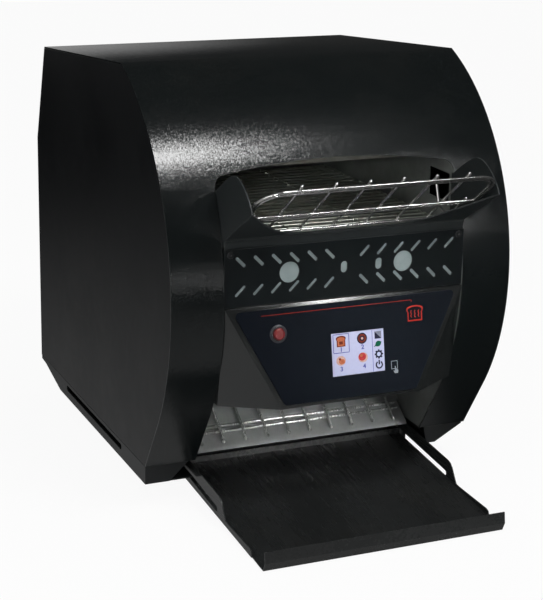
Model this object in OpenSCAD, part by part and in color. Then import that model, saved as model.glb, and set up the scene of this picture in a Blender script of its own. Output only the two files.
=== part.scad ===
// Conveyor toaster: curved sheet-metal body, wire feed rack, rod conveyor, chute and collector tray.
// Millimetres, +Z up, front towards -Y; the origin is the centre of the footprint on the counter.

/* [Body] */
// Overall width of the body
width = 370; // [330:1:460]
// Sheet thickness of the housing
sheet = 1.2; // [0.8:0.1:2]
// Gap between neighbouring sheets
seam = 0.2; // [0.1:0.05:0.3]
// Free height under the base pan
foot_height = 25; // [20:1:40]
// Crease between front and top, front to back
crease_y = -28.7; // [-60:0.1:0]
// Face of the vertical back
back_y = 278.8; // [250:0.1:320]
// Height of the crease between front and top
crease_z = 444.8; // [420:0.1:480]
// Height of the top at the rear
top_back_z = 421.8; // [400:0.1:470]
// Rear end of the top
top_back_y = 243.1; // [220:0.1:270]
// Height where the back starts to lean
bend_z = 311.3; // [280:0.1:360]
// Lower end of the curved front: front to back position
chin_y = -133.8; // [-150:0.1:-110]
// Height of the lower end of the curved front
chin_z = 101.1; // [80:0.1:120]
// Lower edge of the fascia: front to back position
fascia_y = -97.5; // [-120:0.1:-60]
// Height of the lower edge of the fascia
fascia_z = 44.2; // [35:0.1:60]

/* [Opening] */
// Gap between the opening and the inner walls
open_gap = 0.5; // [0.3:0.1:2]
// Height of the top edge at the middle
open_top = 359.5; // [330:0.1:380]
// Radius of the shallow arch
open_arch_r = 812; // [500:1:2000]
// Radius of the upper corners
open_corner = 12; // [4:0.5:20]

/* [Chamber] */
// Width of the compartment beside each inner wall
side_bay = 55; // [50:0.5:70]
// Height of the notch in the inner walls
notch_z = [304, 334]; // [280:1:360]
// Depth position of the notch
notch_y = [-134, -92]; // [-150:1:-60]
// Height of the reflector flange above the belt
reflector_low = 347; // [330:1:370]
// Top of the upper reflector
reflector_top = 385; // [375:1:395]
// Rear end of the upper reflector
reflector_rear = 195; // [150:1:220]
// Quartz tube diameter
tube_d = 10; // [6:0.5:14]
// Height of the upper heaters
heater_top_z = 366; // [355:1:375]
// Height of the lower heaters
heater_low_z = 262; // [258:1:268]
// Heaters in each bank
heater_count = 4; // [2:1:6]

/* [Conveyor] */
// Distance between belt rods
rod_pitch = 12.7; // [9:0.1:19]
// Belt rod diameter
rod_d = 3; // [2:0.1:4]
// Rods around one full turn of a belt wheel
wheel_teeth = 12; // [10:2:16]
// Pitches between the two shafts
belt_span = 21; // [16:1:24]
// Front shaft position
idler_y = -125; // [-130:0.5:-110]
// Height of both shafts
shaft_z = 260.5; // [250:0.5:270]
// Shaft diameter
shaft_d = 10; // [8:0.5:14]
// Gap between the belt rods and the inner walls
rod_side_gap = 6; // [3:0.5:12]
// Running clearance on a shaft or pin
running = 0.05; // [0.02:0.01:0.1]
// Clearance between the belt wheels and the rods
rim_gap = 0.3; // [0.3:0.05:0.8]

/* [Feed] */
// Slope of the rack in degrees
rack_slope = 37.6; // [30:0.1:45]
// Pivot wire of the rack, front to back
rack_y = -170; // [-175:0.5:-160]
// Height of the pivot wire
rack_z = 299.5; // [295:0.5:310]
// Wire diameter of the rack
rack_wire = 3; // [2.5:0.1:4]
// Gap between the outer loop and the inner walls
rack_side_gap = 4.2; // [3.5:0.1:10]
// Spacing of the long rack wires
rack_pitch = 34.8; // [25:0.1:45]
// Face of the guard plate
guard_y = -168.5; // [-170:0.1:-160]
// Lower and upper edge of the guard plate
guard_z = [227, 285]; // [200:1:300]
// Distance from the outermost slot to the edge of the guard plate
guard_margin = 16.6; // [14:0.1:24]
// Slot length in the guard plate
guard_slot = 14; // [8:0.5:18]
// Slot width in the guard plate
guard_slot_w = 3.2; // [2:0.1:5]
// Diameter of the two round holes
guard_hole = 21; // [10:0.5:24]

/* [Controls] */
// Upper front edge of the box, [front-back, height]
box_top = [-170, 226.2]; // [-200:0.1:240]
// Lower front edge of the box, [front-back, height]
box_low = [-189, 124.5]; // [-220:0.1:240]
// How much narrower the box is at the bottom, on each side
box_taper = 53.4; // [30:0.1:70]
// Border of the box around the overlay
box_border = 6; // [3:0.1:12]
// Lower rear corner of the wedge, [front-back, height]
box_wedge = [-154, 123]; // [-160:0.1:240]
// Rear face of the box
box_back = -120; // [-125:1:-100]
// Overlay glass thickness
glass_t = 1.6; // [1:0.1:3]
// Active area of the screen
screen_size = [58, 43]; // [30:0.5:90]
// Diameter of the power button
button_d = 12; // [10:0.5:20]
// Outer diameter of the button bezel
bezel_d = 17; // [15:0.5:28]
// Button travel
button_travel = 3; // [1:0.5:4]

/* [Chute] */
// Slope of the chute in degrees
chute_slope = 33; // [28:0.5:38]
// Front lip of the chute, front to back
chute_y = -72; // [-80:0.5:-60]
// Height of the chute lip
chute_z = 43.6; // [40:0.1:50]
// Distance from the outermost chute wire to the inner wall
chute_margin = 17.5; // [12:0.5:30]
// Wires in the chute grid
chute_wires_n = 10; // [6:2:12]
// Wire diameter of the chute grid
chute_wire = 3; // [2:0.1:4]

/* [Tray] */
// How far the tray reaches past the inner walls
tray_lap = 1; // [0:0.1:1.5]
// Sheet thickness of the tray
tray_sheet = 1.2; // [0.8:0.1:2]
// Rear end of the tray
tray_rear = -51.5; // [-60:0.5:-40]
// Front end of the tray
tray_front = -280; // [-320:1:-250]
// Height of the tray floor at its rear end
tray_rear_z = 20.7; // [15:0.1:24]

/* [Drive] */
// Pitch of the drive chain
chain_pitch = 6.35; // [5:0.05:8]
// Teeth of the driven wheel
driven_teeth = 20; // [16:1:24]
// Teeth of the motor wheel
motor_teeth = 14; // [10:1:18]
// Height of the motor shaft
motor_z = 172; // [160:1:185]
// Side of the square cooling fan
fan_size = 80; // [60:1:92]
// Depth of the cooling fan
fan_depth = 25; // [15:1:25]
// Height of the fan axis
fan_z = 104; // [90:1:120]
// Sideways position of the fan axis
fan_x = -60; // [-80:1:80]

/* [Hidden] */
$fn = 48;
half = width / 2;
base_z = foot_height;
floor_z = base_z + sheet;
corner = [fascia_y, fascia_z];
crease = [crease_y, crease_z];
tangent = [chin_y, chin_z];
chord = crease - tangent;
arc_lap = 0.03;
inward = [tangent[1] - corner[1], corner[0] - tangent[0]] / norm(tangent - corner);
arc_r = chord * chord / (2 * inward * chord);
arc_c = tangent + arc_r * inward;
wall_half = half - side_bay;
open_half = wall_half + open_gap;
rod_half = wall_half - rod_side_gap;
rack_half = wall_half - rack_side_gap;
tray_half = wall_half + tray_lap;
guard_slots = 6;
guard_pitch = (wall_half - guard_margin) / guard_slots;
box_half = [wall_half, wall_half - box_taper];
chute_pitch = 2 * (wall_half - chute_margin) / (chute_wires_n - 1);
top_back = [top_back_y, top_back_z];
bend = [back_y, bend_z];
wheel_r = rod_pitch / 2 / sin(180 / wheel_teeth);
drive_y = idler_y + belt_span * rod_pitch;
belt_top = shaft_z + wheel_r;
rack_dir = [0, -cos(rack_slope), sin(rack_slope)];
rack_up = [0, sin(rack_slope), cos(rack_slope)];
face_v = [0, box_top[0] - box_low[0], box_top[1] - box_low[1]];
face_len = norm(face_v);
face_tilt = atan2(face_v[1], face_v[2]);
tray_slope = atan2(tray_rear_z, tray_rear - tray_front);
driven_r = chain_pitch / 2 / sin(180 / driven_teeth);
motor_r = chain_pitch / 2 / sin(180 / motor_teeth);

// Node shown on its own, or "all"

// ---------------------------------------------------------------- helpers

// 2-D shape in (y, z) swept from x0 to x1
module across(x0, x1) {
    translate([x0, 0, 0]) rotate([90, 0, 90]) linear_extrude(x1 - x0) children();
}

// 2-D shape in (x, z) swept from y0 to y1
module depth(y0, y1) {
    translate([0, y1, 0]) rotate([90, 0, 0]) linear_extrude(y1 - y0) children();
}

// The children on the left and on the right
module pair() {
    children();
    mirror([1, 0, 0]) children();
}

// Flat bar from p to q, its left side on the line
module strip(p, q, t) {
    d = q - p;
    translate(p) rotate(atan2(d[1], d[0])) square([norm(d), t]);
}

// Line of points moved sideways by d, with mitred corners
function beside(points, d) = [for (i = [0 : len(points) - 1])
    let (a = i > 0 ? points[i] - points[i - 1] : points[i + 1] - points[i],
        b = i < len(points) - 1 ? points[i + 1] - points[i] : a,
        na = [-a[1], a[0]] / norm(a), nb = [-b[1], b[0]] / norm(b))
    points[i] + (na + nb) * d / (1 + na * nb)];

// Sheet of thickness t bent along a line of points, drawn about its middle
module bent(points, t) {
    low = beside(points, -t / 2);
    polygon(concat(beside(points, t / 2), [for (i = [len(low) - 1 : -1 : 0]) low[i]]));
}

// Round bar from p to q
module rod(p, q, d) {
    v = q - p;
    translate(p) rotate([0, acos(v[2] / norm(v)), atan2(v[1], v[0])]) cylinder(h = norm(v), d = d);
}

// Wire along a line of points; a ball closes every bend
module wire(points, d) {
    for (i = [0 : len(points) - 2]) {
        rod(points[i], points[i + 1], d);
        if (i > 0) translate(points[i]) sphere(d = d * 1.2);
    }
}

// Convex outline with rounded corners
module rounded(points, r) {
    n = len(points);
    ins = [for (i = [0 : n - 1])
        let (p = points[i], a = points[(i + 1) % n] - p, b = points[(i + n - 1) % n] - p,
            ua = a / norm(a), ub = b / norm(b), h = acos(ua * ub) / 2, m = ua + ub)
        [p + ub * r / tan(h), p + ua * r / tan(h), p + m / norm(m) * r / sin(h)]];
    polygon([for (q = ins) each [q[0], q[1]]]);
    for (q = ins) translate(q[2]) circle(r = r);
}

// Slot with round ends, length l over all, width w, along the first axis
module slot2(l, w) {
    square([l - w, w], center = true);
    for (s = [-1, 1]) translate([s * (l - w) / 2, 0]) circle(d = w);
}

// Point where two lines meet, each given by a point and a direction
function meet(p, d, q, e) = p + d * cross(q - p, e) / cross(d, e);

// Side view of the body: front and top inset by f, back by b, lower edge dropped by low.
// The arc runs on behind the straight front, and one line cuts the arc and the body off along the top.
module profile(f = 0, b = 0, low = 0) {
    r = arc_r - f;
    top_dir = (crease - top_back) / norm(crease - top_back);
    top_up = [top_dir[1], -top_dir[0]];
    lean_dir = (top_back - bend) / norm(top_back - bend);
    on_top = crease - f * top_up;
    on_lean = bend + b * [-lean_dir[1], lean_dir[0]];
    from_c = on_top - arc_c;
    along = top_dir * from_c;
    brow = from_c + top_dir * (sqrt(pow(along, 2) - from_c * from_c + pow(r, 2)) - along);
    brow_a = atan2(brow[1], brow[0]);
    chin_a = 360 + atan2(-inward[1], -inward[0]);
    chin = arc_c - (r - arc_lap) * inward;
    start_a = brow_a - 4;
    end_a = chin_a + 6;
    function ray(a, k) = arc_c + r * k * [cos(a), sin(a)];
    intersection() {
        union() {
            intersection() {
                translate(arc_c) circle(r = r, $fn = 96);
                polygon([arc_c, for (i = [0 : 4]) ray(start_a + (end_a - start_a) * i / 4, 1.4)]);
            }
            polygon([ray((brow_a + chin_a) / 2, 0.5), chin,
                meet(chin, corner - tangent, [0, fascia_z - low], [1, 0]), [back_y - b, fascia_z - low],
                meet([back_y - b, 0], [0, 1], on_lean, lean_dir),
                meet(on_top + 3 * top_up, top_dir, on_lean, lean_dir), ray(brow_a - 2, 0.995)]);
        }
        polygon([on_top + 100 * top_dir, on_top - 400 * top_dir, [400, -100], [-400, -100]]);
    }
}

// How far a cutting shape reaches past what it cuts
clear_of = 5;

// Places the children on the slanted control face: local x across, local y up the face, z outwards
module on_face() {
    translate([0, box_low[0], box_low[1]]) rotate([90 - face_tilt, 0, 0]) children();
}
function face_up(z) = (z - box_low[1]) / cos(face_tilt);

// ---------------------------------------------------------------- housing

module side_panel() {
    across(half - sheet, half) profile(sheet + seam, sheet + seam);
}
module left_side_panel() {
    color([0.14, 0.15, 0.15]) mirror([1, 0, 0]) side_panel();
}
module right_side_panel() {
    color([0.14, 0.15, 0.15]) difference() {
        side_panel();
        for (i = [0 : 9], r = [0, 1])
            translate([half - sheet / 2, 120 + r * 62, 66 + i * 9]) rotate([90, 0, 90])
                linear_extrude(sheet * 3, center = true) slot2(50, 4);
    }
}

// Outline of the feed and delivery opening seen from the front
module opening2d() {
    arch_end = open_top - open_arch_r + sqrt(pow(open_arch_r, 2) - pow(open_half - open_corner, 2));
    translate([-open_half, 0]) square([open_half * 2, arch_end - open_corner]);
    intersection() {
        translate([open_corner - open_half, 0]) square([(open_half - open_corner) * 2, open_top + 1]);
        translate([0, open_top - open_arch_r]) circle(r = open_arch_r, $fn = 96);
    }
    for (s = [-1, 1]) translate([s * (open_half - open_corner), arch_end - open_corner])
        circle(r = open_corner);
}

module top_front_cover() {
    color([0.16, 0.16, 0.16]) difference() {
        across(-half, half) difference() {
            profile();
            profile(sheet, -clear_of, clear_of);
        }
        depth(arc_c[0] - arc_r - clear_of, 0) opening2d();
    }
}

louvre_n = 13;
module rear_panel() {
    lean = atan2(bend[0] - top_back[0], top_back[1] - bend[1]);
    color([0.2, 0.2, 0.21]) difference() {
        across(-half, half) difference() {
            profile(sheet + seam);
            profile(sheet + seam - clear_of, sheet, clear_of);
        }
        translate([0, back_y, bend_z]) rotate([lean, 0, 0])
            for (i = [0 : louvre_n - 1], r = [0, 1])
                translate([(i - (louvre_n - 1) / 2) * 22, 0, 34 + r * 42]) rotate([90, 90, 0])
                    linear_extrude(10, center = true) slot2(32, 6);
        for (hole = concat([[fan_x, fan_z, fan_size - 6], [gland_x, gland_z, gland_d + 0.4]],
                [for (p = rear_screw_at) [p[0], p[1], screw_d + 0.2]]))
            translate([hole[0], back_y, hole[1]]) rotate([90, 0, 0])
                cylinder(h = 10, d = hole[2], center = true);
    }
}
gland_x = wall_half - 20;
gland_z = 74;
gland_d = 20;
screw_d = 3.5;
rear_screw_at = [for (z = [58, 180, 300], s = [-1, 1]) [s * (half - 8), z]];

module pan_screw(l) {
    cylinder(h = 1.2, d = screw_d * 2);
    translate([0, 0, -l]) cylinder(h = l, d = screw_d);
}
module rear_screws() {
    color([0.7, 0.7, 0.7]) for (p = rear_screw_at)
        translate([p[0], back_y, p[1]]) rotate([-90, 0, 0]) pan_screw(6);
}

base_front_in = open_half + 5;
base_front_low = base_front_in + 4;
base_left_in = 26.3 - half;
base_left_top = -open_half - 8;
guide_x = tray_half + 2;
base_right = half - 35;
base_right_top = half - 3;
base_rise = [201.4, 260.5];
base_rise_z = 38.8;
module base_pan() {
    mid = sheet / 2;
    inner = back_y - sheet - seam;
    color([0.2, 0.21, 0.21]) {
        difference() {
            union() {
                across(-half, base_right) bent([
                    [fascia_y + mid, base_z + mid], [base_rise[0], base_z + mid],
                    [base_rise[1], base_rise_z + mid], [inner - 0.1, base_rise_z + 1.4 + mid]], sheet);
                across(-half, -half + sheet) polygon([[fascia_y, base_z], [base_rise[0], base_z],
                    [base_rise[1], base_rise_z], [inner, base_rise_z + 1.4], [inner, fascia_z - seam],
                    [fascia_y, fascia_z - seam]]);
            }
            translate([-guide_x, fascia_y - 1, base_z - 1])
                cube([guide_x * 2, tray_rear + 3.5 - fascia_y, sheet + 2]);
            translate([-half, 76.5, 37]) rotate([90, 0, 90])
                linear_extrude(10, center = true) slot2(197, 6.5);
        }
        difference() {
            depth(fascia_y, inner)
                strip([base_right - 0.2, base_z], [base_right_top, fascia_z - seam - 1], sheet);
            across(base_right, half) polygon([[base_rise[0], base_z - 2], [base_rise[0], base_z],
                [base_rise[1], base_rise_z], [back_y, base_rise_z + 1.4], [back_y, base_z - 2]]);
        }
        depth(fascia_y, fascia_y + sheet) {
            polygon([[-half, base_z], [base_left_in, base_z],
                [base_left_top, fascia_z - seam], [-half, fascia_z - seam]]);
            polygon([[base_front_low, base_z], [base_right, base_z], [base_right_top, fascia_z - seam],
                [base_front_in, fascia_z - seam]]);
        }
    }
}

foot_x = half - 48;
foot_y = [-7.5, 180];
foot_r = 10;
module foot() {
    color([0.07, 0.07, 0.07]) {
        translate([0, 0, 2]) cylinder(h = foot_height - 2, r1 = foot_r - 1, r2 = foot_r);
        cylinder(h = 2, r = foot_r - 2);
    }
}
module foot_front_left() { translate([-foot_x, foot_y[0], 0]) foot(); }
module foot_front_right() { translate([foot_x, foot_y[0], 0]) foot(); }
module foot_rear_left() { translate([-foot_x, foot_y[1], 0]) foot(); }
module foot_rear_right() { translate([foot_x, foot_y[1], 0]) foot(); }

// ---------------------------------------------------------------- chamber

wall_rear = 262;
bush_d = 18;
heater_y_top = [for (i = [0 : heater_count - 1]) -62 + i * 72];
heater_y_low = [for (i = [0 : heater_count - 1]) -74 + i * 54];
module inner_wall() {
    difference() {
        across(wall_half, wall_half + sheet) difference() {
            union() {
                intersection() {
                    profile(sheet + 0.5);
                    polygon([[-200, fascia_z + 0.4], [wall_rear, fascia_z + 0.4], [wall_rear, 340],
                        [reflector_rear + sheet, reflector_top], [-200, reflector_top]]);
                }
                polygon([[tray_rear + 5, floor_z], [base_rise[0] - 2, floor_z],
                    [wall_rear, base_rise_z + 3], [wall_rear, fascia_z + 5],
                    [tray_rear + 5, fascia_z + 5]]);
            }
            translate([notch_y[0], notch_z[0]]) square([notch_y[1] - notch_y[0], notch_z[1] - notch_z[0]]);
            for (y = [idler_y, drive_y]) translate([y, shaft_z]) circle(d = bush_d + 0.1);
            for (y = heater_y_top) translate([y, heater_top_z]) circle(d = tube_d + 1);
            for (y = heater_y_low) translate([y, heater_low_z]) circle(d = tube_d + 1);
        }
    }
    // foot flange on the base pan
    translate([wall_half + sheet / 2, 20, floor_z]) cube([10, 150, sheet]);
}
module inner_wall_right() { color([0.72, 0.73, 0.73]) inner_wall(); }
module inner_wall_left() { color([0.72, 0.73, 0.73]) mirror([1, 0, 0]) inner_wall(); }

module upper_reflector() {
    m = sheet / 2;
    color([0.8, 0.8, 0.8]) across(-wall_half, wall_half)
        bent([[fascia_y + m, reflector_low], [fascia_y + m, reflector_top - 12],
            [fascia_y + 14, reflector_top - m], [reflector_rear - 10, reflector_top - m],
            [reflector_rear, reflector_top - 12], [reflector_rear, reflector_low]], sheet);
}
module insulation_pad() {
    color([0.9, 0.88, 0.8]) translate([-wall_half, fascia_y + 34, reflector_top])
        cube([wall_half * 2, reflector_rear - fascia_y - 48, 12]);
}
module lower_reflector() {
    low = heater_low_z - 15;
    y0 = heater_y_low[0] - 20;
    y1 = heater_y_low[heater_count - 1] + 20;
    color([0.8, 0.8, 0.8]) across(-wall_half, wall_half)
        bent([[y0, heater_low_z + 4], [y0, low + 6], [y0 + 8, low], [y1 - 8, low], [y1, low + 6],
            [y1, heater_low_z + 4]], sheet);
}

tube_half = wall_half + sheet + 8;
module tubes(ys, z) {
    for (y = ys) translate([-tube_half, y, z]) rotate([0, 90, 0]) difference() {
        cylinder(h = tube_half * 2, d = tube_d);
        translate([0, 0, -1]) cylinder(h = 6, d = tube_d - 3);
        translate([0, 0, tube_half * 2 - 5]) cylinder(h = 6, d = tube_d - 3);
    }
}
module upper_heaters() { color([0.95, 0.93, 0.88]) tubes(heater_y_top, heater_top_z); }
module lower_heaters() { color([0.95, 0.93, 0.88]) tubes(heater_y_low, heater_low_z); }
module heater_ends() {
    color([0.92, 0.9, 0.86]) pair() for (p = [for (y = heater_y_top) [y, heater_top_z],
            for (y = heater_y_low) [y, heater_low_z]])
        translate([wall_half + sheet, p[0], p[1]]) rotate([0, 90, 0]) difference() {
            cylinder(h = 14, d = tube_d + 7);
            translate([0, 0, -1]) cylinder(h = 9.6, d = tube_d + 0.2);
            cylinder(h = 20, d = 3);
        }
}

// ---------------------------------------------------------------- conveyor

wheel_x = rod_half - 12;
belt_links_x = rod_half - 3.5;
function turn_at(c, a) = [c + wheel_r * cos(a), shaft_z + wheel_r * sin(a)];
belt_points = concat(
    [for (i = [0 : belt_span]) [idler_y + i * rod_pitch, shaft_z + wheel_r]],
    [for (i = [1 : wheel_teeth / 2 - 1]) turn_at(drive_y, 90 - i * 360 / wheel_teeth)],
    [for (i = [0 : belt_span]) [drive_y - i * rod_pitch, shaft_z - wheel_r]],
    [for (i = [1 : wheel_teeth / 2 - 1]) turn_at(idler_y, 270 - i * 360 / wheel_teeth)]);

module belt_band(r) {
    translate([idler_y, shaft_z - r]) square([drive_y - idler_y, r * 2]);
    for (y = [idler_y, drive_y]) translate([y, shaft_z]) circle(r = r);
}
module conveyor_belt() {
    color([0.78, 0.78, 0.76]) {
        for (p = belt_points) translate([-rod_half, p[0], p[1]]) rotate([0, 90, 0])
            cylinder(h = rod_half * 2, d = rod_d, $fn = 24);
        pair() across(belt_links_x, belt_links_x + 2) difference() {
            belt_band(wheel_r + rod_d / 2 - 0.4);
            belt_band(wheel_r - rod_d / 2 + 0.4);
        }
    }
}

// Belt wheels: plain rims just inside the rods
module belt_wheels(y) {
    color([0.62, 0.62, 0.6]) pair() across(wheel_x - 3, wheel_x + 3) difference() {
        translate([y, shaft_z]) circle(r = wheel_r - rod_d / 2 - rim_gap);
        translate([y, shaft_z]) circle(d = shaft_d + 2 * running);
        for (i = [0 : 5]) translate([y, shaft_z]) rotate(i * 60 + 30) translate([13.2, 0]) circle(d = 6);
    }
}
module drive_wheels() { belt_wheels(drive_y); }
module idler_wheels() { belt_wheels(idler_y); }

driven_x = wall_half + sheet + 14;
module shaft(y, x1) {
    color([0.7, 0.7, 0.7]) {
        translate([-wall_half - 8, y, shaft_z]) rotate([0, 90, 0])
            cylinder(h = x1 + wall_half + 8, d = shaft_d);
        for (s = [-1, 1]) translate([s * (wall_half - 5.5) - 2, y, shaft_z]) rotate([0, 90, 0])
            cylinder(h = 4, d = shaft_d + 5);
    }
}
module drive_shaft() { shaft(drive_y, driven_x + 14); }
module idler_shaft() { shaft(idler_y, wall_half + 8); }
module shaft_bushes() {
    color([0.75, 0.6, 0.3]) pair() for (y = [idler_y, drive_y])
        translate([wall_half - 2, y, shaft_z]) rotate([0, 90, 0]) difference() {
            union() {
                cylinder(h = 8, d = bush_d);
                cylinder(h = 2, d = bush_d + 6);
            }
            translate([0, 0, -1]) cylinder(h = 12, d = shaft_d + 2 * running);
        }
}

// Toothed chain wheel around the x axis; the tips stay inside the chain
module chain_wheel(x, z, teeth, r, bore) {
    tip = r - 1.4;
    across(x, x + 3) difference() {
        translate([drive_y, z]) circle(r = tip);
        translate([drive_y, z]) circle(d = bore);
        for (i = [0 : teeth - 1]) translate([drive_y, z]) rotate(i * 360 / teeth)
            translate([tip + 0.6, 0]) circle(d = 3.4, $fn = 16);
    }
}
hub_d = 18;
module driven_wheel() {
    color([0.45, 0.45, 0.45]) {
        chain_wheel(driven_x, shaft_z, driven_teeth, driven_r, shaft_d + 2 * running);
        across(driven_x + 3 - 0.01, driven_x + 10) translate([drive_y, shaft_z]) difference() {
            circle(d = hub_d);
            circle(d = shaft_d + 2 * running);
        }
    }
}
motor_shaft_d = 8;
module motor_wheel() {
    color([0.45, 0.45, 0.45]) {
        chain_wheel(driven_x, motor_z, motor_teeth, motor_r, motor_shaft_d + 2 * running);
        across(driven_x + 3 - 0.01, driven_x + 8) translate([drive_y, motor_z]) difference() {
            circle(d = hub_d - 3);
            circle(d = motor_shaft_d + 2 * running);
        }
    }
}
// Loop around two wheels of different size, grown by g
module two_wheels(g) {
    c = shaft_z - motor_z;
    a = asin((driven_r - motor_r) / c);
    big = driven_r + g;
    small = motor_r + g;
    translate([drive_y, shaft_z]) circle(r = big);
    translate([drive_y, motor_z]) circle(r = small);
    polygon([[drive_y + big * cos(a), shaft_z - big * sin(a)],
        [drive_y + small * cos(a), motor_z - small * sin(a)],
        [drive_y - small * cos(a), motor_z - small * sin(a)],
        [drive_y - big * cos(a), shaft_z - big * sin(a)]]);
}
module drive_chain() {
    color([0.35, 0.34, 0.33]) across(driven_x + 0.3, driven_x + 2.7) difference() {
        two_wheels(2.2);
        two_wheels(-1.1);
    }
}
bracket_x = wall_half + sheet;
motor_x = driven_x + 11;
module motor_bracket() {
    color([0.6, 0.6, 0.6]) {
        across(motor_x, motor_x + 2) difference() {
            translate([drive_y - 30, motor_z - 34]) square([60, 56]);
            translate([drive_y, motor_z]) circle(d = hub_d + 3);
        }
        for (s = [-1, 1]) translate([bracket_x, drive_y + s * 29 - 1, motor_z - 34])
            cube([motor_x - bracket_x + 0.1, 2, 56]);
        translate([bracket_x, drive_y - 30, motor_z - 34]) cube([motor_x - bracket_x + 0.1, 60, 2]);
    }
}
module motor_shaft() {
    color([0.7, 0.7, 0.7]) translate([driven_x - 2, drive_y, motor_z]) rotate([0, 90, 0])
        cylinder(h = motor_x + 11 - driven_x, d = motor_shaft_d);
}
module gear_motor() {
    color([0.3, 0.31, 0.32]) {
        difference() {
            across(motor_x + 2, motor_x + 20) translate([drive_y - 28, motor_z - 30]) square([56, 50]);
            across(motor_x, motor_x + 12) translate([drive_y, motor_z])
                circle(d = motor_shaft_d + 2 * running);
        }
        translate([motor_x + 4, drive_y - 26, motor_z - 62]) cube([18, 52, 34]);
    }
}

// ---------------------------------------------------------------- feed

// Rim of one scoop ear, from the shoulder over the crown to the front corner
ear_rim = [[-143.6, 337.2], [-153.7, 343.9], [-161, 348.9], [-167.8, 353.1], [-176.2, 357.6], [-182, 360.2],
    [-188.5, 361.9], [-195.6, 361.9], [-202.6, 360.1], [-209.6, 356.8], [-217.9, 351.6], [-225, 345.2],
    [-229.3, 339.8], [-232.5, 334.7]];
fold = [-168.5, 295];
scoop_tip = [-231.5, 334];
// Front edge of the sloping sheet, right half, for an inner half width of scoop_ref
scoop_ref = 130;
scoop_edge = [[128.8, -231.5], [120, -222], [108, -207.5], [96.5, -195.5], [86, -185], [76, -178.5],
    [66, -173.8], [57, -170.4], [49, -168.6]];
module feed_scoop() {
    slope = atan2(scoop_tip[1] - fold[1], fold[0] - scoop_tip[0]);
    color([0.28, 0.28, 0.29]) {
        pair() across(wall_half - sheet, wall_half)
            polygon(concat([[-140, 324], [-140, 337.2]], ear_rim,
                [scoop_tip, fold, [-165.5, 287.5], [-150, 287.5], [-140, 297]]));
        intersection() {
            across(-wall_half + sheet / 2, wall_half - sheet / 2)
                strip(scoop_tip, fold, sheet);
            translate([0, 0, fold[1] - 20]) linear_extrude(80) polygon(concat(
                [for (p = scoop_edge) [p[0] * wall_half / scoop_ref + sheet, p[1]]],
                [for (i = [len(scoop_edge) - 1 : -1 : 0])
                    [-scoop_edge[i][0] * wall_half / scoop_ref - sheet, scoop_edge[i][1]]],
                [[-wall_half, -150], [wall_half, -150]]));
        }
        // lead-in flange running on towards the belt
        across(-wall_half + sheet / 2, wall_half - sheet / 2)
            bent([fold + [0.2, 0.4], [-160.5, 288.2], [-153.5, 288.2]], sheet);
        // lip that closes the gap behind the top of the guard plate
        across(-wall_half + sheet / 2, wall_half - sheet / 2)
            translate([guard_y + sheet + 0.3, lip_z]) square([sheet, fold[1] - 1.2 - lip_z]);
    }
}

lip_z = guard_z[1] - 2.6;

// Position on the rack plane: x across, s up the slope from the pivot, n above the plane
function on_rack(x, s, n = 0) = [x, rack_y, rack_z] + s * rack_dir + n * rack_up;
loop_in = 4.4;
// One loop of wire, inset by i; the front corners are wide, the rear ones tight
module rack_loop(i) {
    h = rack_half - i;
    s0 = 32.6 + i;
    s1 = 92.8 - i;
    rf = 27 - i;
    rr = 7 - i;
    translate([0, rack_y, rack_z]) rotate([-rack_slope, 0, 0]) mirror([0, 1, 0]) {
        pair() {
            translate([0, s1, 0]) rotate([0, 90, 0]) cylinder(h = h - rf, d = rack_wire, $fn = 24);
            translate([0, s0, 0]) rotate([0, 90, 0]) cylinder(h = h - rr, d = rack_wire, $fn = 24);
            translate([h, s0 + rr, 0]) rotate([-90, 0, 0])
                cylinder(h = s1 - rf - s0 - rr, d = rack_wire, $fn = 24);
            translate([h - rf, s1 - rf, 0]) rotate_extrude(angle = 90)
                translate([rf, 0]) circle(d = rack_wire, $fn = 24);
            translate([h - rr, s0 + rr, 0]) rotate([0, 0, -90]) rotate_extrude(angle = 90)
                translate([rr, 0]) circle(d = rack_wire, $fn = 24);
        }
    }
}
arm_x = rack_half - 12.8;
module feed_rack() {
    lift = rack_wire * 0.8;
    color([0.85, 0.85, 0.85]) {
        rack_loop(0);
        rack_loop(loop_in);
        for (i = [-2.5 : 1 : 2.5]) {
            x = i * rack_pitch;
            rod(on_rack(x, -1.5, lift), on_rack(x, 98, lift), rack_wire);
            rod(on_rack(x, 96.4, lift), on_rack(x, 99.6, lift), rack_wire + 0.8);
        }
        rod([-pivot_half, rack_y, rack_z], [pivot_half, rack_y, rack_z], rack_wire);
        pair() wire([on_rack(arm_x, 39, lift), on_rack(arm_x, 1, lift), [arm_x, -158, 300],
            [arm_x, -146, 304], [arm_x, -135.5, 332]], rack_wire);
    }
}
pivot_half = wall_half - sheet - 1;
// Clips on the ears that carry the pivot wire
module rack_clips() {
    color([0.5, 0.5, 0.5]) pair() across(wall_half - sheet - 5, wall_half - sheet) difference() {
        polygon([[rack_y - 4.5, 300.3], [rack_y + 1.5, 296.6], [rack_y + 4.5, 296.6],
            [rack_y + 4.5, rack_z + 5], [rack_y - 4.5, rack_z + 5]]);
        translate([rack_y, rack_z]) circle(d = rack_wire + 2 * running);
    }
}

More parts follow.
